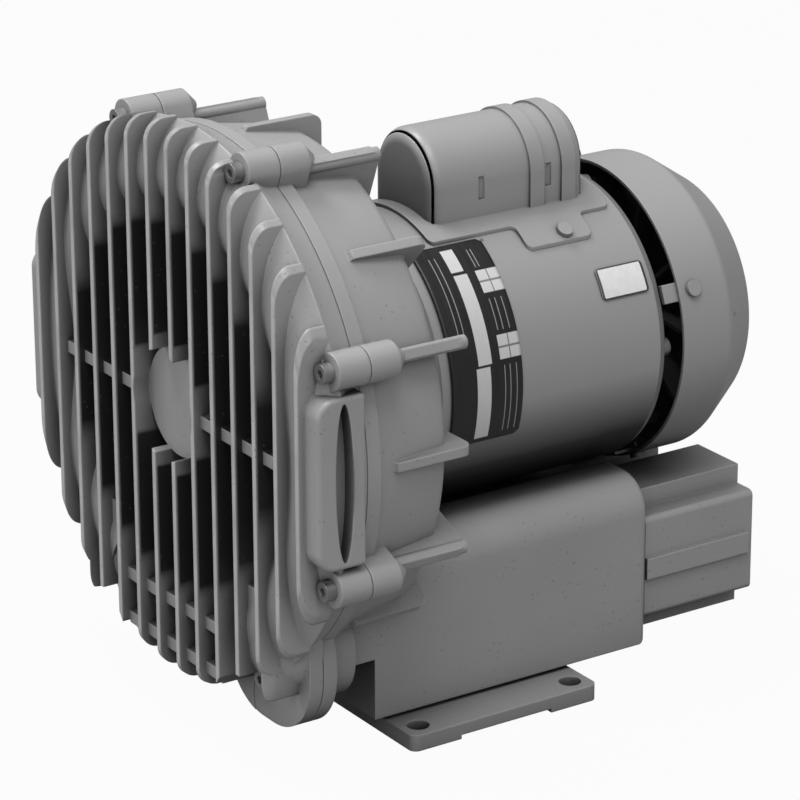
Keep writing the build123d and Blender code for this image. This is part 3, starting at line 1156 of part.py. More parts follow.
def capacitor():
    """Start capacitor with its two terminals, lying under the cover."""
    middle = (HUMP_FRONT_Y + HUMP_REAR_Y) / 2
    front = middle - CAPACITOR_LENGTH / 2
    centre_z = SHELL_RADIUS + CAPACITOR_RADIUS
    can = rod(CAPACITOR_RADIUS, front, front + CAPACITOR_LENGTH, 0, centre_z)
    can = fillet(can.faces().sort_by(Axis.Y)[-1].edges(), 2.0)
    for x in (-6, 6):
        can += block((x - 3, x + 3), (front - CAPACITOR_TERMINAL, front), (centre_z - 0.5, centre_z + 0.5))
    return can


# ================================================================ plates
def curved_plate(y_span, angle_span):
    """Thin plate rolled to the shell and lying on it."""
    plate = tube(SHELL_RADIUS + PLATE_THICKNESS, SHELL_RADIUS, *y_span)
    low, high = angle_span
    reach = 2 * SHELL_RADIUS
    corners = [(0, 0)] + [polar(reach, low + (high - low) * step / 4) for step in range(5)]
    return plate & slab(make_face(Polyline(*corners, close=True)), *y_span)


PARTS = {
    "front_cover": front_cover,
    "cover_gasket": cover_gasket,
    "cover_screws": cover_screws,
    "rear_housing": rear_housing,
    "right_muffler_liner": lambda: muffler_liner(1),
    "left_muffler_liner": lambda: muffler_liner(-1),
    "right_muffler_extension": lambda: muffler_extension(1),
    "left_muffler_extension": lambda: muffler_extension(-1),
    "extension_gaskets": extension_gaskets,
    "extension_screws": extension_screws,
    "impeller": impeller,
    "impeller_key": impeller_key,
    "impeller_washer": impeller_washer,
    "impeller_nut": impeller_nut,
    "shaft": shaft,
    "shaft_seal": shaft_seal,
    "front_bearing_outer_race": lambda: bearing(FRONT_BEARING_Y, "outer"),
    "front_bearing_inner_race": lambda: bearing(FRONT_BEARING_Y, "inner"),
    "front_bearing_balls": lambda: bearing(FRONT_BEARING_Y, "balls"),
    "rear_bearing_outer_race": lambda: bearing(REAR_BEARING_Y, "outer"),
    "rear_bearing_inner_race": lambda: bearing(REAR_BEARING_Y, "inner"),
    "rear_bearing_balls": lambda: bearing(REAR_BEARING_Y, "balls"),
    "front_end_bell": front_end_bell,
    "motor_shell": motor_shell,
    "stator_core": stator_core,
    "stator_winding": stator_winding,
    "rotor_core": rotor_core,
    "rear_end_bell": rear_end_bell,
    "through_bolts": through_bolts,
    "motor_mount_screws": motor_mount_screws,
    "preload_washer": preload_washer,
    "switch_base": switch_base,
    "switch_weight_upper": lambda: switch_weight(1),
    "switch_weight_lower": lambda: switch_weight(-1),
    "switch_collar": switch_collar,
    "start_switch": start_switch,
    "external_fan": external_fan,
    "fan_clip": fan_clip,
    "fan_cowl": fan_cowl,
    "cowl_brackets": cowl_brackets,
    "cowl_screws": cowl_screws,
    "capacitor": capacitor,
    "capacitor_cover": capacitor_cover,
    "capacitor_cover_screws": capacitor_cover_screws,
    "data_plate": lambda: curved_plate(DATA_PLATE_YS, DATA_PLATE_ANGLES),
    "small_label": lambda: curved_plate(SMALL_LABEL_YS, SMALL_LABEL_ANGLES),
}

os.makedirs("parts", exist_ok=True)
for part_name, make in PARTS.items():
    write(make(), part_name)
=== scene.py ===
import json
import math

import bmesh
import bpy
import numpy as np
from mathutils import Matrix, Vector

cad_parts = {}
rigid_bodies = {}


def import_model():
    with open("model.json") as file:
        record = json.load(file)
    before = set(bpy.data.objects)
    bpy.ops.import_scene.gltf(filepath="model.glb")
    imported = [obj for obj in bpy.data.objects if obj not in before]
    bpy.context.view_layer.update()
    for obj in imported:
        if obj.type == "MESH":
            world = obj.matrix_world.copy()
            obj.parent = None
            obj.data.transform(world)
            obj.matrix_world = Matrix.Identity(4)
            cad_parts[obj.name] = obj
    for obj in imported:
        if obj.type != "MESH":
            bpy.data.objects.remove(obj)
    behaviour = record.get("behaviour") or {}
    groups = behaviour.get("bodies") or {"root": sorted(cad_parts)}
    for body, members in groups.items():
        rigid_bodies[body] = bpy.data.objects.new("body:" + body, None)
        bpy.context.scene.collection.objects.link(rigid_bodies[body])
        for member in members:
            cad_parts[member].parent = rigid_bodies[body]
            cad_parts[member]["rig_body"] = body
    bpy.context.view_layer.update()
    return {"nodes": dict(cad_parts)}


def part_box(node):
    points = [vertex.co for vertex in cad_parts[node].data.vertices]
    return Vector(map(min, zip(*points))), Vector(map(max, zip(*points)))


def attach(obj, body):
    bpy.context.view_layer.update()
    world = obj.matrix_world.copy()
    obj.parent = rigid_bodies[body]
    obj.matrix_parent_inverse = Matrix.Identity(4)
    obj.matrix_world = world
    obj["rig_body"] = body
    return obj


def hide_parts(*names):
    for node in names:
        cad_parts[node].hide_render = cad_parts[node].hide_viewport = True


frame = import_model()

bl_info = {
    "name": "Side channel blower finish",
    "version": (1, 0, 0),
    "blender": (4, 5, 0),
    "location": "View3D > Sidebar > Blower",
    "description": "Dresses a side channel blower in cast, painted and printed surfaces",
    "category": "Object",
}

# Lengths are in metres, unless a comment says otherwise.
SHAFT_Z = 0.158
MM_PER_M = 1000.0
JOIN_DISTANCE = 2e-6
CREASE_ANGLE = math.radians(32.0)

# Features per metre of each pattern in the two enamels.
CAST_SCALES = {"coat": 14.0, "blotch": 46.0, "sand": 1150.0, "peel": 420.0, "pits": 260.0, "swell": 34.0}
SHEET_SCALES = {"coat": 10.0, "blotch": 60.0, "peel": 520.0, "specks": 62.0}
ENAMEL_IOR = 1.5
EDGE_GAIN = 5.0
CORNER_POWER = 1.4

# Dust and painted shade in corners: its share of the cover, and its tone as a share of the paint's.
CORNER_DUST_AND_SHADE_SHARE = 0.6
CORNER_DUST_AND_SHADE_TONE = 0.24
# How far the painted shade of deep hollows looks for cover.
DEEP_SHADE_REACH = 0.075

# The finned cover: in front of FIN_EDGE_Y the fin edges are pale, partly rubbed and partly painted highlight.
# Within the well's radius and outside the hub, painted shade starts behind WELL_MOUTH_Y and is full a little
# deeper. The hub and faces towards -Y in front of BAR_LIGHT_Y stay free of it.
FIN_EDGE_Y = -0.1276
WELL_MOUTH_Y = -0.1279
WELL_DEPTH = 0.0012
WELL_RADIUS = 0.088
WELL_COVER = 0.93
HUB_RADIUS = 0.0325
BAR_LIGHT_Y = -0.1225

# Painted shade under the motor, darker towards the bottom: where it starts and where it is full.
UNDER_SHADE_TOP_Z = 0.151
UNDER_SHADE_FULL_Z = 0.118

# Printed foils: thickness, corner radii, rows and columns of the mesh.
FOIL_THICKNESS = 0.0005
PLATE_CORNER = 0.0025
LABEL_CORNER = 0.0018
SHEET_COUNTS = (49, 25)

# Fields of the data plate by low and high corner, each in millimetres along Y and degrees round the shell.
PLATE_FIELDS = [
    ((-2.0, 47.5), (4.8, 57.5)),
    ((-1.8, 11.5), (5.6, 46.2)),
    ((-3.2, -17.2), (4.4, 10.6)),
]
PLATE_BOXES = [((10.2, 37.4), (22.0, 46.5)), ((10.3, 12.3), (22.0, 21.3))]
# Blank rules: millimetres from the plate's front edge, then the degrees where each starts and ends.
PLATE_RULES = [
    (7.0, 20.0, 55.0), (10.0, 20.0, 55.0),
    (28.5, 48.0, 56.0), (30.5, 48.0, 56.0),
    (28.5, 23.0, 35.0), (31.5, 23.0, 35.0), (35.0, 23.0, 35.0),
    (29.0, -16.0, 10.0), (32.0, -16.0, 10.0), (35.5, -16.0, 10.0),
]
RULE_WIDTH_MM = 0.5
RULE_COVER = 0.45
CROSS_HALF_WIDTH = 0.008
CROSS_HALF_HEIGHT = 0.0048
LABEL_LINE = 0.045

# Camera: lens and sensor in millimetres, and the middle of its picture right of and below the aim point.
LENS = 176.25
SENSOR_WIDTH = 36.0
CLIP_START = 0.05
CAMERA_ROLL = math.radians(-0.238)
AIM_POINT = (0.0, -0.0277, SHAFT_Z)
AIM_RIGHT = 0.024552
AIM_DOWN = 0.01716

LAMP_DISTANCE = 2.0
# Name, azimuth from straight before the cover, elevation, width, share of the key light's power.
LAMPS = [
    ("key", 300, 65, 0.9, 1.0),
    ("front", 10, 8, 0.9, 0.2),
    ("side", 75, 35, 1.3, 0.25),
    ("overhead", 60, 68, 0.9, 0.62),
    ("glint", -25, 28, 0.25, 0.12),
]
SKY_STRENGTH = 0.5
SKY_DIMMED_IN_GLOSS = 0.5
FLOOR_RADIUS = 9.0
FLOOR_SEGMENTS = 96
FLOOR_WHITE_SHARE = 0.96


# ---------------------------------------------------------------- shader trees

class Signal:
    """One output of a shader node. Sums written on it add Math nodes to its tree."""

    def __init__(self, finish, socket):
        self.finish = finish
        self.socket = socket

    def maths(self, operation, *values):
        node = self.finish.add("ShaderNodeMath", {"operation": operation}, dict(enumerate(values)))
        return node["Value"]

    def __add__(self, other):
        return self.maths("ADD", self, other)

    def __sub__(self, other):
        return self.maths("SUBTRACT", self, other)

    def __mul__(self, other):
        return self.maths("MULTIPLY", self, other)

    def __truediv__(self, other):
        return self.maths("DIVIDE", self, other)

    def __pow__(self, other):
        return self.maths("POWER", self, other)

    def __rsub__(self, other):
        return self.maths("SUBTRACT", other, self)

    def __rtruediv__(self, other):
        return self.maths("DIVIDE", other, self)

    def __abs__(self):
        return self.maths("ABSOLUTE", self)

    __radd__ = __add__
    __rmul__ = __mul__

    def below(self, edge, softness):
        """1 where the signal is under the edge, 0 over it, with a ramp as wide as the softness."""
        return ((edge - self) / softness + 0.5).clamped()

    def above(self, edge, softness):
        """1 where the signal is over the edge, 0 under it, with a ramp as wide as the softness."""
        return ((self - edge) / softness + 0.5).clamped()

    def clamped(self):
        return self.finish.add("ShaderNodeClamp", inputs={"Value": self})["Result"]

    def fraction(self):
        return self.maths("FRACT", self)

    def larger(self, other):
        return self.maths("MAXIMUM", self, other)


class Finish:
    """The node tree of a material or a world, with one method that adds any node to it."""

    def __init__(self, owner):
        owner.use_nodes = True
        self.owner = owner
        self.tree = owner.node_tree
        self.shader = self.tree.nodes.get("Principled BSDF")

    def add(self, kind, settings=None, inputs=None):
        node = self.tree.nodes.new(kind)
        for key, value in (settings or {}).items():
            setattr(node, key, value)
        for key, value in (inputs or {}).items():
            self.feed(node.inputs[key], value)
        return {socket.name: Signal(self, socket) for socket in node.outputs if socket.enabled}

    def feed(self, socket, value):
        if isinstance(value, Signal):
            self.tree.links.new(value.socket, socket)
        else:
            socket.default_value = value

    def set(self, **values):
        """Feeds the main shader's sockets and gives back the material."""
        for key, value in values.items():
            self.feed(self.shader.inputs[key.replace("_", " ")], value)
        return self.owner

    def place(self):
        return self.add("ShaderNodeTexCoord")["Object"]

    def own_map(self):
        return self.add("ShaderNodeTexCoord")["UV"]

    def parts(self, vector):
        split = self.add("ShaderNodeSeparateXYZ", inputs={"Vector": vector})
        return split["X"], split["Y"], split["Z"]

    def stretched(self, vector, scale):
        return self.add("ShaderNodeMapping", inputs={"Vector": vector, "Scale": scale})["Vector"]

    def noise(self, vector, scale, detail=2.0):
        inputs = {"Vector": vector, "Scale": scale, "Detail": detail}
        return self.add("ShaderNodeTexNoise", inputs=inputs)["Fac"]

    def cells(self, vector, scale):
        return self.add("ShaderNodeTexVoronoi", inputs={"Vector": vector, "Scale": scale})["Distance"]

    def blend(self, factor, first, second):
        inputs = {0: factor, 6: rgba(first), 7: rgba(second)}
        return self.add("ShaderNodeMix", {"data_type": "RGBA"}, inputs)["Result"]

    def likeness(self, first, second):
        node = self.add("ShaderNodeVectorMath", {"operation": "DOT_PRODUCT"}, {0: first, 1: second})
        return node["Value"]

    def rounded_normal(self, radius):
        return self.add("ShaderNodeBevel", {"samples": 6}, {"Radius": radius})["Normal"]

    def surface_normal(self):
        return self.add("ShaderNodeNewGeometry")["Normal"]

    def hollow(self, distance):
        """0 on open faces and rising towards 1 in corners no wider than the distance."""
        return 1 - self.add("ShaderNodeAmbientOcclusion", {"samples": 6}, {"Distance": distance})["AO"]

    def bump(self, height, distance, strength=1.0, normal=None):
        inputs = {"Height": height, "Distance": distance, "Strength": strength}
        if normal is not None:
            inputs["Normal"] = normal
        return self.add("ShaderNodeBump", inputs=inputs)["Normal"]

    def mixed_shader(self, factor, first, second):
        return self.add("ShaderNodeMixShader", inputs={0: factor, 1: first, 2: second})["Shader"]


def new_finish(name):
    return Finish(bpy.data.materials.new(name))


def rgba(colour):
    if isinstance(colour, Signal):
        return colour
    if isinstance(colour, (int, float)):
        return (colour, colour, colour, 1.0)
    return (*tuple(colour)[:3], 1.0)


def tinted(colour, share):
    """A colour made lighter or darker, no channel past 1."""
    return tuple(min(1.0, channel * share) for channel in colour)


# ---------------------------------------------------------------- finishes

def worn_and_highlit_edges(finish, rounded, blotch, even_share, wear_and_highlight):
    """Pale edges, partly thinned enamel and partly painted highlight: on edges sharper than the rounded
    normal, broken up by the blotches.
    """
    edge = ((1 - finish.likeness(rounded, finish.surface_normal())) * EDGE_GAIN).clamped()
    return (edge * (blotch + even_share) * wear_and_highlight).clamped()


def enamel_layers(finish, colour, coat, worn_and_highlit, corner, deep_shade, spread, pale, shade_tone):
    """Paint that varies by the spread; pale on edges, partly wear and partly painted highlight; dust and
    painted shade in corners; darkened to painted shade in deep hollows.
    """
    paint = finish.blend(coat, tinted(colour, 1.0 - spread), tinted(colour, 1.0 + spread))
    thin = finish.blend(worn_and_highlit, paint, tinted(colour, pale))
    dust_and_shade = finish.blend((corner * CORNER_DUST_AND_SHADE_SHARE).clamped(), thin, tinted(colour, CORNER_DUST_AND_SHADE_TONE))
    return finish.blend(deep_shade, dust_and_shade, tinted(colour, shade_tone))


def painted_well_shade(finish, place):
    """1 where the cover's well gets painted shade: inside the well's radius, behind the fin edges, off the
    hub and bars.
    """
    x, y, z = finish.parts(place)
    height = z - SHAFT_Z
    out = (x * x + height * height) ** 0.5
    inside = out.below(WELL_RADIUS, 0.007) * out.above(HUB_RADIUS, 0.002)
    towards_front = abs(finish.parts(finish.surface_normal())[1]) ** 4.0 * y.below(BAR_LIGHT_Y, 0.002)
    depth = ((y - WELL_MOUTH_Y) * (WELL_COVER / WELL_DEPTH)).clamped()
    return inside * depth * (1 - towards_front)


def cast_paint(name, colour, wear_and_highlight=0.35, finned=False):
    """Satin enamel over a casting: grain, swell and orange peel, pale edges that are partly wear and partly
    painted highlight, dust and painted shade in corners, painted shade in deep hollows and, on the finned
    cover, in the well between the fins.
    """
    finish = new_finish(name)
    place = finish.place()
    coat = finish.noise(place, CAST_SCALES["coat"], 4.0)
    blotch = finish.noise(place, CAST_SCALES["blotch"], 3.0)
    sand = finish.noise(place, CAST_SCALES["sand"], 2.0)
    peel = finish.noise(place, CAST_SCALES["peel"], 1.0)
    swell = finish.noise(place, CAST_SCALES["swell"], 1.0)
    pits = finish.cells(place, CAST_SCALES["pits"]).below(0.13, 0.1) * blotch.above(0.52, 0.1)
    rounded = finish.rounded_normal(0.0011)
    # Pale edges: partly thinned enamel, partly painted highlight.
    worn_and_highlit = worn_and_highlit_edges(finish, rounded, blotch, 0.35, wear_and_highlight)
    # Dust in corners, which is also painted shade there.
    corner = finish.hollow(0.016) ** CORNER_POWER
    # Painted shade in deep hollows, where shadow falls.
    deep_shade = ((finish.hollow(DEEP_SHADE_REACH) - 0.42) * 2.2).clamped()
    if finned:
        # The fins' front faces are paler, partly wear and partly painted highlight; the well between the fins
        # gets painted shade.
        front = finish.parts(place)[1].below(FIN_EDGE_Y, 0.0004)
        worn_and_highlit = worn_and_highlit.larger(front * (blotch * 0.9)).clamped()
        deep_shade = deep_shade.larger(painted_well_shade(finish, place))
    worn_dusty_shaded = enamel_layers(finish, colour, coat, worn_and_highlit, corner, deep_shade, spread=0.1, pale=1.9, shade_tone=0.06)
    relief = sand * 0.35 + peel * 0.5 - pits * 0.8 + swell * 5.0
    return finish.set(
        Base_Color=finish.blend(pits * 0.5, worn_dusty_shaded, tinted(colour, 0.4)),
        Roughness=0.3 + coat * 0.1 + corner * 0.25 - worn_and_highlit * 0.08,
        Normal=finish.bump(relief, 0.00012, 0.8, rounded),
        IOR=ENAMEL_IOR,
    )


def sheet_paint(name, colour, edge_radius=0.0007, wear_and_highlight=0.3, under_shade=0.3):
    """Satin enamel over pressed steel: fine orange peel, pale edges that are partly wear and partly painted
    highlight, a few dark specks, dust and painted shade in corners, painted shade in deep hollows and low
    down.
    """
    finish = new_finish(name)
    place = finish.place()
    coat = finish.noise(place, SHEET_SCALES["coat"], 4.0)
    blotch = finish.noise(place, SHEET_SCALES["blotch"], 3.0)
    peel = finish.noise(place, SHEET_SCALES["peel"], 1.5)
    specks = finish.cells(place, SHEET_SCALES["specks"]).below(0.075, 0.03) * blotch.above(0.56, 0.05)
    rounded = finish.rounded_normal(edge_radius)
    # Pale edges: partly thinned enamel, partly painted highlight.
    worn_and_highlit = worn_and_highlit_edges(finish, rounded, blotch, 0.3, wear_and_highlight)
    # Dust in corners, which is also painted shade there.
    corner = finish.hollow(0.012) ** CORNER_POWER
    # Painted shade under the motor: the colour darkens towards the bottom, by the share given for this
    # enamel.
    height = finish.parts(place)[2]
    under_shade_mask = ((UNDER_SHADE_TOP_Z - height) / (UNDER_SHADE_TOP_Z - UNDER_SHADE_FULL_Z)).clamped() ** 1.15 * under_shade
    # Painted shade in deep hollows, joined with the shade under the motor.
    deep_shade = ((finish.hollow(DEEP_SHADE_REACH) - 0.25) * 2.0).clamped().larger(under_shade_mask)
    worn_dusty_shaded = enamel_layers(finish, colour, coat, worn_and_highlit, corner, deep_shade, spread=0.07, pale=1.8, shade_tone=0.02)
    return finish.set(
        Base_Color=finish.blend(specks * 0.75, worn_dusty_shaded, tinted(colour, 0.3)),
        Roughness=0.31 + coat * 0.1 + corner * 0.25 + specks * 0.2,
        Normal=finish.bump(peel + specks * 0.6, 0.00007, 0.7, rounded),
        IOR=ENAMEL_IOR,
    )


def plated_steel(name, colour, roughness=0.34):
    """Turned or plated steel: drawn streaks, a mottled plating, and darker and less metallic in its corners.
    """
    finish = new_finish(name)
    place = finish.place()
    drawn = finish.noise(finish.stretched(place, (900.0, 60.0, 900.0)), 1.0, 3.0)
    mottle = finish.noise(place, 130.0, 4.0)
    corner = finish.hollow(0.004)
    metal = finish.blend(mottle, tinted(colour, 0.75), tinted(colour, 1.15))
    return finish.set(
        Base_Color=finish.blend((corner * 0.5).clamped(), metal, 0.02),
        Metallic=1 - corner * 0.5,
        Roughness=roughness + mottle * 0.16 + corner * 0.2,
        Normal=finish.bump(drawn, 0.00004, 0.6, finish.rounded_normal(0.0004)),
    )


def moulded(name, colour, roughness=0.5):
    """Moulded plastic or rubber: fine spark-eroded grain, slightly uneven gloss, darker in corners."""
    finish = new_finish(name)
    place = finish.place()
    texture = finish.noise(place, 380.0, 2.0)
    gloss = finish.noise(place, 35.0, 3.0)
    corner = finish.hollow(0.006)
    shade = finish.blend(gloss, tinted(colour, 0.85), tinted(colour, 1.2))
    return finish.set(
        Base_Color=finish.blend((corner * 0.35).clamped(), shade, 0.08),
        Roughness=roughness + gloss * 0.14,
        Normal=finish.bump(texture, 0.00005, 0.8, finish.rounded_normal(0.0004)),
    )


def fibre(name, colour):
    """Pressed fibre or open foam: fine cells over a soft mottle."""
    finish = new_finish(name)
    place = finish.place()
    mottle = finish.noise(place, 90.0, 5.0)
    cells = finish.cells(place, 700.0)
    return finish.set(
        Base_Color=finish.blend(mottle, tinted(colour, 0.7), tinted(colour, 1.3)),
        Roughness=0.82 + cells * 0.15,
        Normal=finish.bump(cells, 0.0002, 0.7),
    )


def banded(name, colour, gap_colour, pitch, metallic, roughness):
    """Stacked sheets or laid wire: dark lines across +Y at the pitch, over an uneven tone."""
    finish = new_finish(name)
    place = finish.place()
    layer = (finish.parts(place)[1] * (1.0 / pitch)).fraction()
    line = abs(layer - 0.5).above(0.38, 0.12)
    tone = finish.noise(place, 80.0, 4.0)
    shade = finish.blend(tone, tinted(colour, 0.75), tinted(colour, 1.2))
    return finish.set(
        Base_Color=finish.blend(line, shade, gap_colour),
        Metallic=metallic,
        Roughness=roughness + line * 0.2,
        Normal=finish.bump(1 - line, 0.0002, 0.7),
    )


def box_mask(across, turn, low, high, softness=0.004):
    """1 inside a rectangle given by its low and high corners on the piece's own map."""
    inside = across.above(low[0], softness) * across.below(high[0], softness)
    return inside * turn.above(low[1], softness) * turn.below(high[1], softness)


def frame_mask(across, turn, low, high, width):
    """1 on a line of the width just inside a rectangle's border."""
    inner_low = (low[0] + width, low[1] + width)
    inner_high = (high[0] - width, high[1] - width)
    return box_mask(across, turn, low, high) * (1 - box_mask(across, turn, inner_low, inner_high))


def any_of(masks):
    """The largest of several signals at each point."""
    first, *others = masks
    for mask in others:
        first = first.larger(mask)
    return first


def on_plate(corners, span, angles):
    """A rectangle in shares of the plate, from corners in millimetres along Y and degrees of turn."""
    shares = [
        (1.0 - (along - span[0]) / (span[1] - span[0]), (turn - angles[0]) / (angles[1] - angles[0]))
        for along, turn in corners
    ]
    return tuple(map(min, *shares)), tuple(map(max, *shares))


def crossing_lines(low, high):
    """Two thin rectangles that cross in the middle of a rectangle, one along each of its directions."""
    middle = [(low[i] + high[i]) / 2 for i in (0, 1)]
    upright = (middle[0] - CROSS_HALF_WIDTH, low[1]), (middle[0] + CROSS_HALF_WIDTH, high[1])
    level = (low[0], middle[1] - CROSS_HALF_HEIGHT), (high[0], middle[1] + CROSS_HALF_HEIGHT)
    return upright, level


def printed_plate(name, span, angles):
    """Black printed foil: bare pale fields, boxes crossed in four, thin blank rules, all slightly worn."""
    finish = new_finish(name)
    across, turn, _ = finish.parts(finish.own_map())
    place = finish.place()
    worn = finish.noise(place, 240.0, 4.0)
    smear = finish.noise(finish.stretched(place, (60.0, 500.0, 60.0)), 1.0, 3.0)
    fields = [on_plate(corners, span, angles) for corners in PLATE_FIELDS + PLATE_BOXES]
    crosses = [line for corners in PLATE_BOXES for line in crossing_lines(*on_plate(corners, span, angles))]
    starts = [(span[0] + distance, first, last) for distance, first, last in PLATE_RULES]
    rules = [
        on_plate(((along, first), (along + RULE_WIDTH_MM, last)), span, angles)
        for along, first, last in starts
    ]
    filled = any_of([box_mask(across, turn, *corners) for corners in fields])
    ruled = any_of([box_mask(across, turn, *corners, 0.002) for corners in rules]) * RULE_COVER
    lines = any_of([box_mask(across, turn, *corners) for corners in crosses])
    pale = filled.larger(ruled)
    pale = pale - lines * 0.7 * pale
    ground = finish.blend(smear, 0.008, 0.02)
    ink = finish.blend(worn, 0.5, 0.72)
    return finish.set(
        Base_Color=finish.blend((pale * (1.05 - worn * 0.25)).clamped(), ground, ink),
        Roughness=0.3 + smear * 0.25,
        Normal=finish.bump(smear + pale * 0.6, 0.00005, 0.6),
    )


def bordered_label(name):
    """Blank pale foil with a thin dark border line."""
    finish = new_finish(name)
    across, turn, _ = finish.parts(finish.own_map())
    mottle = finish.noise(finish.place(), 300.0, 4.0)
    line = frame_mask(across, turn, (0.0, 0.0), (1.0, 1.0), LABEL_LINE)
    paper = finish.blend(mottle, 0.62, 0.8)
    return finish.set(
        Base_Color=finish.blend(line, paper, 0.05),
        Roughness=0.45 + mottle * 0.15,
        Normal=finish.bump(mottle, 0.00003, 0.6),
    )


# ---------------------------------------------------------------- meshes

def link(name, mesh, material, body, node):
    """Puts a finished mesh in the scene, riding on its body in place of its CAD node."""
    mesh.materials.clear()
    mesh.materials.append(material)
    piece = bpy.data.objects.new(name, mesh)
    bpy.context.scene.collection.objects.link(piece)
    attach(piece, body)
    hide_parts(node)
    return piece


def skin(node, name, material):
    """A copy of a CAD node with its triangles joined, smooth across joins flatter than the crease angle."""
    source = frame["nodes"][node]
    mesh = source.data.copy()
    mesh.name = name
    custom = mesh.attributes.get("custom_normal")
    if custom is not None:
        mesh.attributes.remove(custom)
    joined = bmesh.new()
    joined.from_mesh(mesh)
    bmesh.ops.remove_doubles(joined, verts=joined.verts, dist=JOIN_DISTANCE)
    joined.to_mesh(mesh)
    joined.free()
    mesh.shade_smooth()
    mesh.set_sharp_from_angle(angle=CREASE_ANGLE)
    piece = link(name, mesh, material, source["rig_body"], node)
    flatten = piece.modifiers.new("flat faces stay flat", "WEIGHTED_NORMAL")
    flatten.keep_sharp = True
    return piece


def paint_node(node, material):
    """Gives a CAD node that stays as it is its finish."""
    mesh = frame["nodes"][node].data
    if not mesh.materials:
        raise RuntimeError(f"the node {node} has no material slot")
    for index in range(len(mesh.materials)):
        mesh.materials[index] = material


def grid_mesh(name, points):
    """Quads over a grid of points of shape (rows, columns, 3), with a map of column and row shares."""
    rows, columns = points.shape[:2]
    row, column = np.meshgrid(np.arange(rows - 1), np.arange(columns - 1), indexing="ij")
    corner_rows = np.stack([row, row, row + 1, row + 1], axis=-1)
    corner_columns = np.stack([column, column + 1, column + 1, column], axis=-1)
    faces = (corner_rows * columns + corner_columns).reshape(-1, 4)
    mesh = bpy.data.meshes.new(name)
    mesh.from_pydata(points.reshape(-1, 3).tolist(), [], faces.tolist())
    layer = mesh.uv_layers.new(name="sheet")
    shares = np.stack([corner_columns / (columns - 1), corner_rows / (rows - 1)], axis=-1)
    layer.data.foreach_set("uv", shares.reshape(-1))
    mesh.shade_smooth()
    mesh.validate()
    return mesh


def wrapped_sheet(name, radius, span, angles, corner):
    """A sheet wrapped on the motor: angle over one parameter, Y over the other, radius constant.

    Each row is pulled in towards its middle by what a quarter circle of the corner radius cuts off
    at that distance from the sheet's edge, so that the four corners are round.
    """
    middle, half = (span[0] + span[1]) / 2, (span[1] - span[0]) / 2
    turn = np.radians(np.linspace(angles[0], angles[1], SHEET_COUNTS[0]))
    arc = (turn - turn.mean()) * radius
    into_corner = np.clip(np.abs(arc) - (np.abs(arc).max() - corner), 0.0, corner)
    pulled = corner - np.sqrt(corner ** 2 - into_corner ** 2)
    share = np.linspace(-1.0, 1.0, SHEET_COUNTS[1])
    along = middle + share[None, :] * (half - pulled)[:, None]
    across = np.broadcast_to(np.cos(turn)[:, None] * radius, along.shape)
    height = np.broadcast_to(np.sin(turn)[:, None] * radius + SHAFT_Z, along.shape)
    points = np.stack([across, along, height], axis=-1)
    return grid_mesh(name, points[:, ::-1])


def add_sheet(name, mesh, material, node):
    """Puts a wrapped sheet on the shell and gives it its thickness towards the shaft."""
    piece = link(name, mesh, material, "root", node)
    wall = piece.modifiers.new("thickness", "SOLIDIFY")
    wall.thickness = FOIL_THICKNESS
    wall.offset = -1.0


# ---------------------------------------------------------------- settings

class PaintSettings(bpy.types.PropertyGroup):
    colour: bpy.props.FloatVectorProperty(
        name="Paint", description="Colour of the machine's enamel", subtype="COLOR",
        size=3, min=0.0, max=1.0, default=(0.3, 0.3, 0.3),
    )
    # Pale edges: partly worn enamel, partly painted highlight.
    wear_and_highlight: bpy.props.FloatProperty(
        name="Edge wear", description="How far the enamel has thinned on edges", subtype="FACTOR",
        min=0.0, max=1.0, default=0.55,
    )


class PlateSettings(bpy.types.PropertyGroup):
    low_angle: bpy.props.FloatProperty(
        name="Lower edge", description="Where the data plate starts round the shell", subtype="ANGLE",
        default=math.radians(-19.0),
    )
    high_angle: bpy.props.FloatProperty(
        name="Upper edge", description="Where the data plate ends round the shell", subtype="ANGLE",
        default=math.radians(60.0),
    )


class StageSettings(bpy.types.PropertyGroup):
    azimuth: bpy.props.FloatProperty(
        name="Azimuth", description="Turn of the camera round the shaft's height", subtype="ANGLE",
        default=math.radians(56.502),
    )
    elevation: bpy.props.FloatProperty(
        name="Elevation", description="Height angle of the camera", subtype="ANGLE",
        default=math.radians(20.53),
    )
    distance: bpy.props.FloatProperty(
        name="Distance", description="Camera to the point that it looks at", unit="LENGTH", default=1.8314,
    )
    key_power: bpy.props.FloatProperty(
        name="Key light", description="Power of the large lamp above the cover", unit="POWER", default=26.0,
    )


class BlowerSettings(bpy.types.PropertyGroup):
    paint: bpy.props.PointerProperty(type=PaintSettings)
    plate: bpy.props.PointerProperty(type=PlateSettings)
    stage: bpy.props.PointerProperty(type=StageSettings)


# ---------------------------------------------------------------- pieces

class BLOWER_OT_castings(bpy.types.Operator):
    """Dress the channel cover, the housing and the two outlet bodies in painted castings"""

    bl_idname = "blower.castings"
    bl_label = "Painted castings"

    def execute(self, context):
        settings = context.scene.blower.paint
        paint = cast_paint("casting_enamel", settings.colour, settings.wear_and_highlight)
        cover_paint = cast_paint("cover_enamel", settings.colour, settings.wear_and_highlight, finned=True)
        skin("front_cover", "channel_cover", cover_paint)
        skin("rear_housing", "channel_housing", paint)
        skin("right_muffler_extension", "right_silencer_end", paint)
        skin("left_muffler_extension", "left_silencer_end", paint)
        return {"FINISHED"}


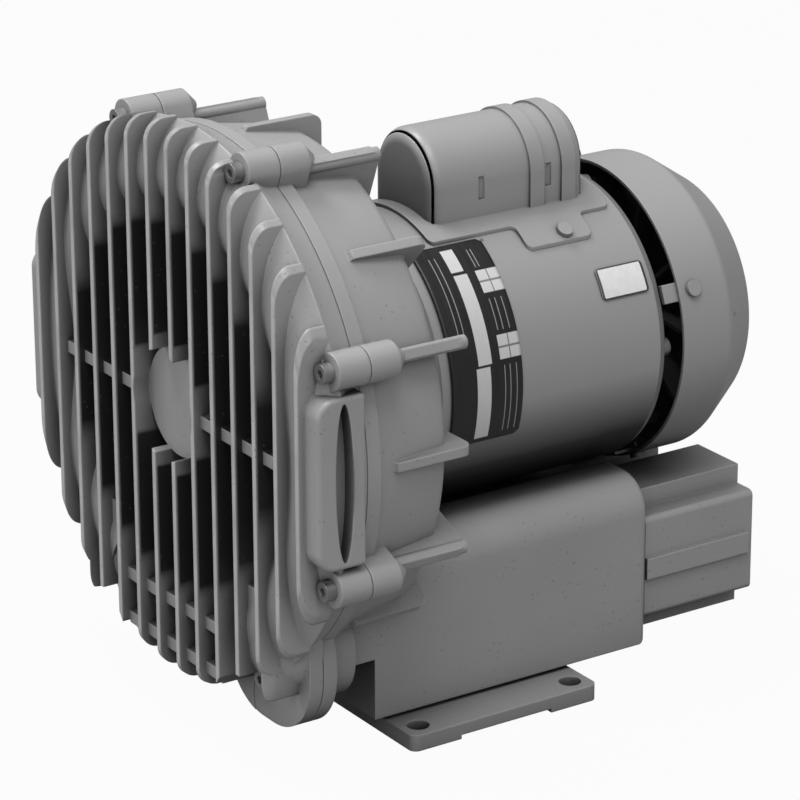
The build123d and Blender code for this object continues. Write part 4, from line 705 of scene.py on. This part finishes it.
class BLOWER_OT_motor(bpy.types.Operator):
    """Dress the motor's shell, bells, cowl and capacitor cover"""

    bl_idname = "blower.motor"
    bl_label = "Motor"

    def execute(self, context):
        settings = context.scene.blower.paint
        enamel = sheet_paint("sheet_enamel", settings.colour, wear_and_highlight=settings.wear_and_highlight)
        # The shell's enamel takes the full painted shade on its underside.
        shell_enamel = sheet_paint("shell_enamel", settings.colour, wear_and_highlight=settings.wear_and_highlight, under_shade=1.0)
        # The bells' grey, darker than the enamel, is partly painted shade: the shadow where they sit in the
        # gaps at the shell's ends.
        bell = cast_paint("bell_casting", (0.16, 0.16, 0.16), wear_and_highlight=0.2)
        skin("motor_shell", "shell", shell_enamel)
        skin("capacitor_cover", "capacitor_hood", enamel)
        skin("fan_cowl", "cowl", enamel)
        skin("cowl_brackets", "cowl_straps", enamel)
        skin("front_end_bell", "front_bell", bell)
        skin("rear_end_bell", "rear_bell", bell)
        return {"FINISHED"}


class BLOWER_OT_fasteners(bpy.types.Operator):
    """Dress the plated screws and bolts, and the screws that are painted with the sheet steel"""

    bl_idname = "blower.fasteners"
    bl_label = "Fasteners"

    def execute(self, context):
        plated = plated_steel("plated_steel", (0.4, 0.4, 0.4))
        painted = sheet_paint("painted_steel", context.scene.blower.paint.colour, edge_radius=0.0004)
        for node in ("cover_screws", "extension_screws", "through_bolts", "motor_mount_screws"):
            skin(node, node + "_plated", plated)
        for node in ("cowl_screws", "capacitor_cover_screws"):
            skin(node, node + "_painted", painted)
        return {"FINISHED"}


class BLOWER_OT_plates(bpy.types.Operator):
    """Print the bare fields of the data plate and the label"""

    bl_idname = "blower.plates"
    bl_label = "Plates"

    def execute(self, context):
        plate = context.scene.blower.plate
        low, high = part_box("data_plate")
        radius = high.x
        span_mm = (low.y * MM_PER_M, high.y * MM_PER_M)
        angles = (math.degrees(plate.low_angle), math.degrees(plate.high_angle))
        foil = printed_plate("printed_foil", span_mm, angles)
        mesh = wrapped_sheet("data_plate_foil", radius, (low.y, high.y), angles, PLATE_CORNER)
        add_sheet("data_plate_foil", mesh, foil, "data_plate")
        low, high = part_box("small_label")
        angles = [math.degrees(math.asin((z - SHAFT_Z) / radius)) for z in (low.z, high.z)]
        mesh = wrapped_sheet("blank_label", radius, (low.y, high.y), angles, LABEL_CORNER)
        add_sheet("blank_label", mesh, bordered_label("label_foil"), "small_label")
        return {"FINISHED"}


class BLOWER_OT_inner_works(bpy.types.Operator):
    """Finish the pieces inside the blower and the motor"""

    bl_idname = "blower.inner_works"
    bl_label = "Inner works"

    def execute(self, context):
        foam = fibre("foam", (0.08, 0.08, 0.08))
        gasket = fibre("gasket_fibre", (0.12, 0.11, 0.1))
        ground = plated_steel("ground_steel", (0.6, 0.6, 0.6), roughness=0.2)
        bearing = plated_steel("bearing_steel", (0.68, 0.68, 0.68), roughness=0.12)
        plastic = moulded("black_plastic", (0.03, 0.03, 0.03))
        phenolic = moulded("phenolic", (0.09, 0.05, 0.03), roughness=0.4)
        sheets = banded("laminations", (0.3, 0.3, 0.31), (0.04, 0.04, 0.04), 0.0016, 0.9, 0.35)
        wire = banded("winding", (0.45, 0.18, 0.08), (0.06, 0.02, 0.01), 0.0012, 0.7, 0.3)
        groups = [
            (gasket, ("cover_gasket", "extension_gaskets")),
            (foam, ("right_muffler_liner", "left_muffler_liner")),
            (cast_paint("bare_aluminium", (0.6, 0.6, 0.6), wear_and_highlight=0.1), ("impeller",)),
            (ground, ("impeller_key", "impeller_washer", "impeller_nut", "shaft", "preload_washer",
                      "switch_weight_upper", "switch_weight_lower", "fan_clip")),
            (moulded("seal_rubber", (0.02, 0.02, 0.02), roughness=0.65), ("shaft_seal",)),
            (bearing, ("front_bearing_outer_race", "front_bearing_inner_race", "front_bearing_balls",
                       "rear_bearing_outer_race", "rear_bearing_inner_race", "rear_bearing_balls")),
            (sheets, ("stator_core", "rotor_core")),
            (wire, ("stator_winding",)),
            (phenolic, ("switch_base", "switch_collar", "start_switch")),
            (plastic, ("external_fan", "capacitor")),
        ]
        for finish, nodes in groups:
            for node in nodes:
                paint_node(node, finish)
        return {"FINISHED"}


# ---------------------------------------------------------------- stage

def set_camera(stage):
    """A camera at the stage's azimuth, elevation and distance, turned a little about its line of sight."""
    level = math.cos(stage.elevation)
    forward = Vector((
        -math.sin(stage.azimuth) * level,
        math.cos(stage.azimuth) * level,
        -math.sin(stage.elevation),
    ))
    right = Vector((math.cos(stage.azimuth), math.sin(stage.azimuth), 0.0))
    up = right.cross(forward)
    rolled_right = right * math.cos(CAMERA_ROLL) + up * math.sin(CAMERA_ROLL)
    rolled_up = up * math.cos(CAMERA_ROLL) - right * math.sin(CAMERA_ROLL)
    looked_at = Vector(AIM_POINT) + right * AIM_RIGHT - up * AIM_DOWN
    data = bpy.data.cameras.new("view")
    data.lens = LENS
    data.sensor_width = SENSOR_WIDTH
    data.clip_start = CLIP_START
    camera = bpy.data.objects.new("view", data)
    turn = Matrix((rolled_right, rolled_up, -forward)).transposed().to_4x4()
    camera.matrix_world = Matrix.Translation(looked_at - forward * stage.distance) @ turn
    bpy.context.scene.collection.objects.link(camera)
    bpy.context.scene.camera = camera


def add_lamp(name, azimuth, elevation, size, power):
    """A round lamp at the lamps' distance, turned to the object's middle."""
    turn, rise = math.radians(azimuth), math.radians(elevation)
    outward = Vector((math.sin(turn) * math.cos(rise), -math.cos(turn) * math.cos(rise), math.sin(rise)))
    data = bpy.data.lights.new(name, "AREA")
    data.shape = "DISK"
    data.size = size
    data.energy = power
    lamp = bpy.data.objects.new(name, data)
    facing = (-outward).to_track_quat("-Z", "Y").to_matrix().to_4x4()
    lamp.matrix_world = Matrix.Translation(outward * LAMP_DISTANCE + Vector((0.0, 0.0, SHAFT_Z))) @ facing
    bpy.context.scene.collection.objects.link(lamp)


def make_world():
    """A soft even sky that lights the object, weaker in reflections, and white where it is looked at."""
    room = Finish(bpy.data.worlds.new("room"))
    sky, dark, white = (
        room.add("ShaderNodeBackground", inputs={"Color": rgba(tone), "Strength": strength})["Background"]
        for tone, strength in ((1.0, SKY_STRENGTH), (0.0, 1.0), (1.0, 1.0))
    )
    path = room.add("ShaderNodeLightPath")
    dimmed = room.mixed_shader(path["Is Glossy Ray"] * SKY_DIMMED_IN_GLOSS, sky, dark)
    looked_at = path["Is Camera Ray"].larger(path["Is Transmission Ray"])
    surface = room.tree.nodes["World Output"].inputs["Surface"]
    room.feed(surface, room.mixed_shader(looked_at, dimmed, white))
    bpy.context.scene.world = room.owner


def make_floor():
    """A wide disc under the feet, dark to the lamps and near white where it is looked at."""
    finish = new_finish("floor_pale")
    tone = finish.noise(finish.place(), 3.0, 3.0)
    finish.set(Base_Color=finish.blend(tone, 0.2, 0.22), Roughness=0.8)
    path = finish.add("ShaderNodeLightPath")
    looked_at = path["Is Camera Ray"].larger(path["Is Transmission Ray"])
    glow = finish.add("ShaderNodeEmission", inputs={"Color": rgba(1.0), "Strength": 1.0})["Emission"]
    own_surface = Signal(finish, finish.shader.outputs[0])
    surface = finish.tree.nodes["Material Output"].inputs["Surface"]
    finish.feed(surface, finish.mixed_shader(looked_at * FLOOR_WHITE_SHARE, own_surface, glow))
    mesh = bpy.data.meshes.new("floor")
    disc = bmesh.new()
    bmesh.ops.create_circle(disc, cap_ends=True, segments=FLOOR_SEGMENTS, radius=FLOOR_RADIUS)
    disc.to_mesh(mesh)
    disc.free()
    mesh.materials.append(finish.owner)
    floor = bpy.data.objects.new("floor", mesh)
    bpy.context.scene.collection.objects.link(floor)


class BLOWER_OT_stage(bpy.types.Operator):
    """Set the camera, the pale floor and the soft studio light"""

    bl_idname = "blower.stage"
    bl_label = "Stage"

    def execute(self, context):
        stage = context.scene.blower.stage
        set_camera(stage)
        make_floor()
        make_world()
        for name, azimuth, elevation, size, share in LAMPS:
            add_lamp(name, azimuth, elevation, size, stage.key_power * share)
        context.scene.view_settings.view_transform = "Standard"
        return {"FINISHED"}


class BLOWER_PT_panel(bpy.types.Panel):
    """The blower's settings and the buttons that build its pieces"""

    bl_label = "Blower"
    bl_idname = "BLOWER_PT_panel"
    bl_space_type = "VIEW_3D"
    bl_region_type = "UI"
    bl_category = "Blower"

    def draw(self, context):
        settings = context.scene.blower
        for group in (settings.paint, settings.plate, settings.stage):
            box = self.layout.box()
            for name in group.__annotations__:
                box.prop(group, name)
        for operator in OPERATORS:
            self.layout.operator(operator.bl_idname)


OPERATORS = (
    BLOWER_OT_stage,
    BLOWER_OT_castings,
    BLOWER_OT_motor,
    BLOWER_OT_fasteners,
    BLOWER_OT_plates,
    BLOWER_OT_inner_works,
)
CLASSES = (PaintSettings, PlateSettings, StageSettings, BlowerSettings, *OPERATORS, BLOWER_PT_panel)


def register():
    for cls in CLASSES:
        bpy.utils.register_class(cls)
    bpy.types.Scene.blower = bpy.props.PointerProperty(type=BlowerSettings)


def unregister():
    del bpy.types.Scene.blower
    for cls in reversed(CLASSES):
        bpy.utils.unregister_class(cls)


def main():
    register()
    bpy.ops.blower.stage()
    bpy.ops.blower.castings()
    bpy.ops.blower.motor()
    bpy.ops.blower.fasteners()
    bpy.ops.blower.plates()
    bpy.ops.blower.inner_works()


if __name__ == "__main__":
    main()
